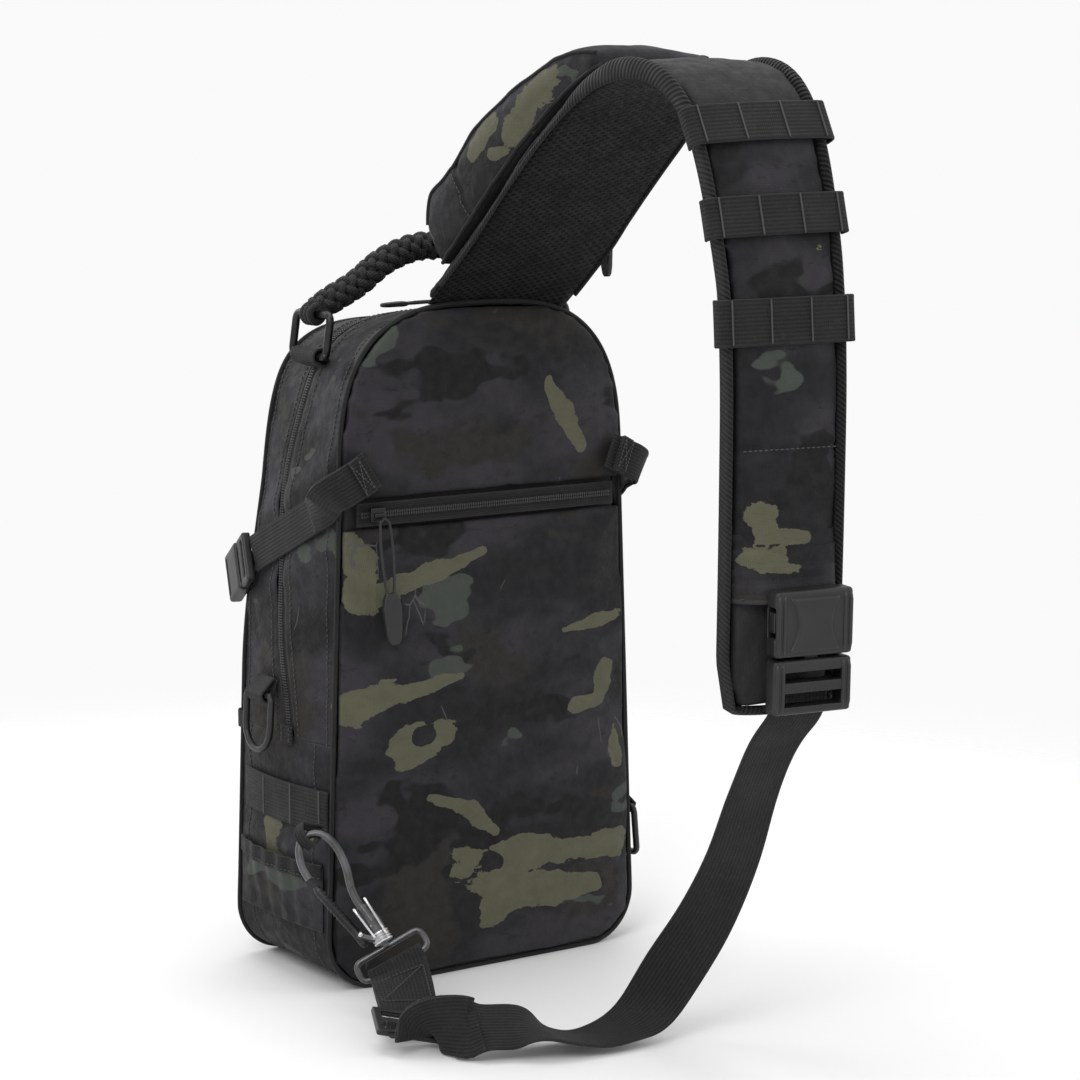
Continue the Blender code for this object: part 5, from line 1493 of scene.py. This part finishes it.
for v in np.linspace(0.0, 1.0, 22):
    run_at = (0.832 + 0.0705 * v) * pad_run[-1]
    i = int(np.argmin(np.abs(pad_run - run_at)))
    for u in np.linspace(-1, 1, 31):
        over = math.exp(-((u - 0.10) / 0.86) ** 8) * max(0.0, v - 0.15) ** 1.4
        sunk = 0.0045 * (1 - min(1.0, v / 0.5)) ** 2 + 0.0040 * max(0.0, abs(u) - 0.86) / 0.14
        flap_rows.append(pad_point(i, u * (pad_half(i) - 0.0030), PAD_T + 0.0022 + 0.0105 * over - sunk))
flap = paint(make("pad_panel_end", flap_rows, grid_faces(22, 31), CAMO))
shell(flap, 0.0018)
place(flap, "bag", "camo_fabric")

# ---------------------------------------------------------------- lower webbing, adjuster and hook
WEB_PATH = [bk(0, 0.0605, -0.0040), bk(0, 0.0770, -0.0048), (0.0185, -0.3440, 0.2020), (0.0170, -0.3255, 0.1665),
            (0.0150, -0.3090, 0.1240), (0.0110, -0.2880, 0.0830), (0.0030, -0.2660, 0.0460),
            (-0.0120, -0.2540, 0.0170), (-0.0400, -0.2510, 0.0070), (-0.0740, -0.2440, 0.0060),
            (-0.0960, -0.2300, 0.0090), (-0.1160, -0.2220, 0.0120), (-0.1330, -0.2160, 0.0125),
            (-0.1410, -0.2050, 0.0100)]
WEB_ACROSS = [bk_side, bk_side, (1, -0.05, 0), (1, -0.1, -0.08), (0.95, -0.2, -0.18), (0.85, -0.3, -0.35),
              (0.68, -0.42, -0.55), (0.48, -0.70, -0.45), (0.25, -0.93, -0.06), (0.22, -0.95, 0.02),
              (0.28, -0.88, -0.25), (0.35, -0.80, -0.45), (0.60, -0.60, -0.50), (0.80, -0.45, -0.30)]
glide_at = np.array([-0.1370, -0.1825, 0.0128])
glide_along = unit(np.array([0.0255, 0.0590, 0.0220]))
glide_side = np.array([0.80, -0.40, -0.26])
glide_side = unit(glide_side - glide_along * np.dot(glide_side, glide_along))
glide_out = np.cross(glide_side, glide_along)

WEB_ROWS, WEB_FINE_ROWS = 44, 260
web_path = spline(WEB_PATH, WEB_ROWS)
web_across = rows_at(WEB_ACROSS, WEB_ROWS)
for i in range(WEB_ROWS):
    ahead = unit(web_path[min(i + 1, WEB_ROWS - 1)] - web_path[max(i - 1, 0)])
    edge = unit(web_across[i] - ahead * np.dot(web_across[i], ahead))
    web_path[i, 2] = max(web_path[i, 2], MAIN_WEB / 2 * abs(edge[2]) + 0.0024)
web_path = spline([*web_path[:-3], glide_at - glide_along * 0.0125 - glide_out * 0.0008,
                   glide_at - glide_along * 0.0050 + glide_out * 0.0030], WEB_FINE_ROWS)
web_across = rows_at([*web_across[:-3], glide_side, glide_side], WEB_FINE_ROWS)
for _ in range(60):
    web_across[1:-1] = (web_across[:-2] + web_across[1:-1] * 2 + web_across[2:]) / 4
    web_path[1:-1] = (web_path[:-2] + web_path[1:-1] * 6 + web_path[2:]) / 8
web_ahead = np.gradient(web_path, axis=0)
web_ahead /= np.linalg.norm(web_ahead, axis=1)[:, None]
web_edge = web_across - web_ahead * (web_across * web_ahead).sum(axis=1)[:, None]
web_edge /= np.linalg.norm(web_edge, axis=1)[:, None]
web_floor = MAIN_WEB / 2 * np.abs(web_edge[:, 2]) + 0.0012
web_path[:, 2] += np.maximum(0.0, web_floor - web_path[:, 2])
webbing = tube("tail_webbing", web_path, web_edge, strap_section(MAIN_WEB, WEB_T * 1.2, 0.0001), WEB)
place(webbing, "bag", "webbing", "lower_webbing")

# Over the adjuster's middle bar and back under itself
web_out = np.cross(web_ahead, web_edge)
if web_out[220][2] < 0:
    web_out = -web_out
back = slice(226, 252)
place(tube("tail_webbing_doubled", web_path[back] + web_out[back] * 0.0024, web_edge[back],
           strap_section(MAIN_WEB * 0.98, WEB_T * 1.2, 0.0001), WEB), "bag", "webbing")
cast("tri_glide", 0.0006, PLASTIC, "moulded_plastic", "bag")

EYE = np.array([-0.1115, -0.1230, 0.0360])
TIP_UP = unit(np.array([-0.0240, 0.0510, 0.0780]))
hook_face = unit(np.cross(TIP_UP, (0.82, -0.57, 0.0)))
hook_w = np.cross(hook_face, TIP_UP)


def hk(u, v):
    """Point in the hook's own plane: along it from the eye, and sideways."""
    return EYE + TIP_UP * u * 1.06 + hook_w * v


tab_low = glide_at + glide_along * 0.0080
tab_high = hk(-0.0030, 0)
tab_mid = (tab_high + tab_low) / 2 + (0, 0, 0.0015)
tab_side = np.array([unit(hook_w * (1 - f) + glide_side * f) for f in np.linspace(0, 1, 60)])
tab_line = spline([tab_high, tab_mid, tab_low], 60)
tab_out = np.array([unit(np.cross(tab_side[i], tab_line[min(i + 1, 59)] - tab_line[max(i - 1, 0)]))
                    for i in range(60)])
if tab_out[30][2] < 0:
    tab_out = -tab_out
eye_bar = hk(-0.0023, 0)
fold = [eye_bar + TIP_UP * math.cos(a) * 0.0036 + tab_out[2] * math.sin(a) * 0.0036
        for a in np.linspace(-1.4, 1.4, 9)]
for part, lift in (("upper", 0.0012), ("lower", -0.0012)):
    pinch = np.clip((59 - np.arange(60)) / 8, 0.35, 1)[:, None]
    run = tab_line + tab_out * lift * pinch
    start = fold[4:] if part == "upper" else fold[4::-1]
    run = spline([*start, *run[4::5]], 80)
    layer = tube("hook_webbing_" + part, run, tab_side[np.linspace(0, 59, 80).astype(int)],
                 strap_section(MAIN_WEB, WEB_T, 0.0001), WEB)
    place(layer, "bag", "webbing", *(("hook_tab",) if part == "upper" else ()))
corners = {(a, b): tab_line[a] + tab_side[a] * b * 0.0160 + tab_out[a] * 0.0023
           for a in (14, 44) for b in (-1, 1)}
for k, (a, b) in enumerate((((14, -1), (14, 1)), ((14, 1), (44, 1)), ((44, 1), (44, -1)), ((44, -1), (14, -1)),
                            ((14, -1), (44, 1)), ((14, 1), (44, -1)))):
    line = [corners[a], corners[b]]
    place(stitches("hook_box_stitch_%d" % (k + 1), line, tab_out[30], *BOX_STITCH), "bag", "webbing")

cast("hook_eye", 0.0005, GUNMETAL, "dark_metal", "bag")
cast("hook_body", 0.0005, GUNMETAL, "dark_metal", "hook")
seen = -hook_face
# Two thin bright steel rods in a V on the hook's body, laid along the chrome highlights of its bent frame:
# painted highlight.
for name, start, end in (("right", (0.0400, 0.0032), (0.0165, 0.0040)),
                         ("left", (0.0375, -0.0062), (0.0175, -0.0036))):
    rod = [hk(*start) + seen * 0.0040, hk(*start) + seen * 0.0052, hk(*end) + seen * 0.0064]
    place(tube("hook_highlight_rod_" + name, spline(rod, 14), hook_face, round_section(0.0009, 8), STEEL), "hook",
          "dark_metal")
barrel = [(u, 0.0058 + (0.0010 if k % 2 else 0.0)) for k, u in enumerate(np.linspace(0.0132, 0.0205, 9))]
place(tube("hook_swivel_barrel", [hk(u, 0) for u, _ in barrel], hook_face,
           [round_section(r, 16) for _, r in barrel], STEEL), "hook", "dark_metal")
LEVER_ROWS = 90
lever_line = ((0.0165, -0.0116), (0.0250, -0.0124), (0.0400, -0.0158), (0.0540, -0.0188), (0.0632, -0.0207))
lever = spline([hk(u, v) for u, v in lever_line], LEVER_ROWS)
lever_sections = []
for k in range(LEVER_ROWS):
    share = k / (LEVER_ROWS - 1)
    grip = 0.0005 * max(0.0, math.sin(k * 1.15)) if 0.38 < share < 0.93 else 0.0
    end = min(1.0, 0.55 + 8 * share, 0.55 + 8 * (1 - share))
    lever_sections.append([(0.0026 * end * math.cos(a), (0.0029 * end + grip) * math.sin(a))
                           for a in np.linspace(0, 2 * math.pi, 14, endpoint=False)])
place(tube("hook_lever", lever, hook_face, lever_sections, METAL), "gate", "dark_metal", "hook_gate")

# The fork and pin that carry the lever
fork_way = unit(hk(0.0245, -0.0112) - hk(0.0180, -0.0030))
cheek_line = ((0.0175, -0.0030), (0.0195, -0.0060), (0.0222, -0.0090), (0.0252, -0.0114))
for name, s in (("near", 1), ("far", -1)):
    cheek = [hk(u, v) + seen * s * 0.0036 for u, v in cheek_line]
    place(tube("hook_fork_" + name, spline(cheek, 14), np.cross(hook_face, fork_way),
               strap_section(0.0050, 0.0010), GUNMETAL), "hook", "dark_metal")
pin = [(-0.0050, 0.0007), (-0.0046, 0.0016), (-0.0041, 0.0016), (-0.0040, 0.0011), (0.0040, 0.0011),
       (0.0041, 0.0016), (0.0046, 0.0016), (0.0050, 0.0007)]
place(tube("hook_pin", [hk(0.0240, -0.0105) + seen * v for v, _ in pin], fork_way,
           [round_section(r, 12) for _, r in pin], STEEL), "hook", "dark_metal")

# The loop at the bag's corner that the hook is clipped to
loop_bar = hk(0.0930, -0.0080)
anchor_way = unit(loop_bar - np.array([-0.1235, -0.0590, 0.1120]))
anchor_side = hook_w - anchor_way * np.dot(hook_w, anchor_way)
clip = loop_strap("hook_anchor_webbing", loop_bar, anchor_way, anchor_side, 0.0084, 0.0072, 0.0150)
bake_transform(clip)
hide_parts("hook_anchor")

# ---------------------------------------------------------------- zip sliders and pulls
for node, body in (("main_zip_slider", "zip_slider_main"), ("back_zip_slider", "zip_slider_back"),
                   ("lower_pocket_slider", "zip_slider_lower"), ("upper_pocket_slider", "zip_slider_upper"),
                   ("strap_pocket_slider", "zip_slider_strap")):
    cast(node, 0.0003, METAL, "dark_metal", body, 2)
for node, body in (("main_zip_pull", "zip_pull_main"), ("back_zip_pull", "zip_pull_back"),
                   ("strap_pocket_pull", "zip_pull_strap")):
    cast(node, 0.0004, PLASTIC_DULL, "moulded_plastic", body, 2)

# ---------------------------------------------------------------- floor
bpy.ops.mesh.primitive_plane_add(size=60, location=(0, 0, -0.0002))
floor = bpy.context.object
floor.name = "floor"
floor.data.materials.append(floor_material())
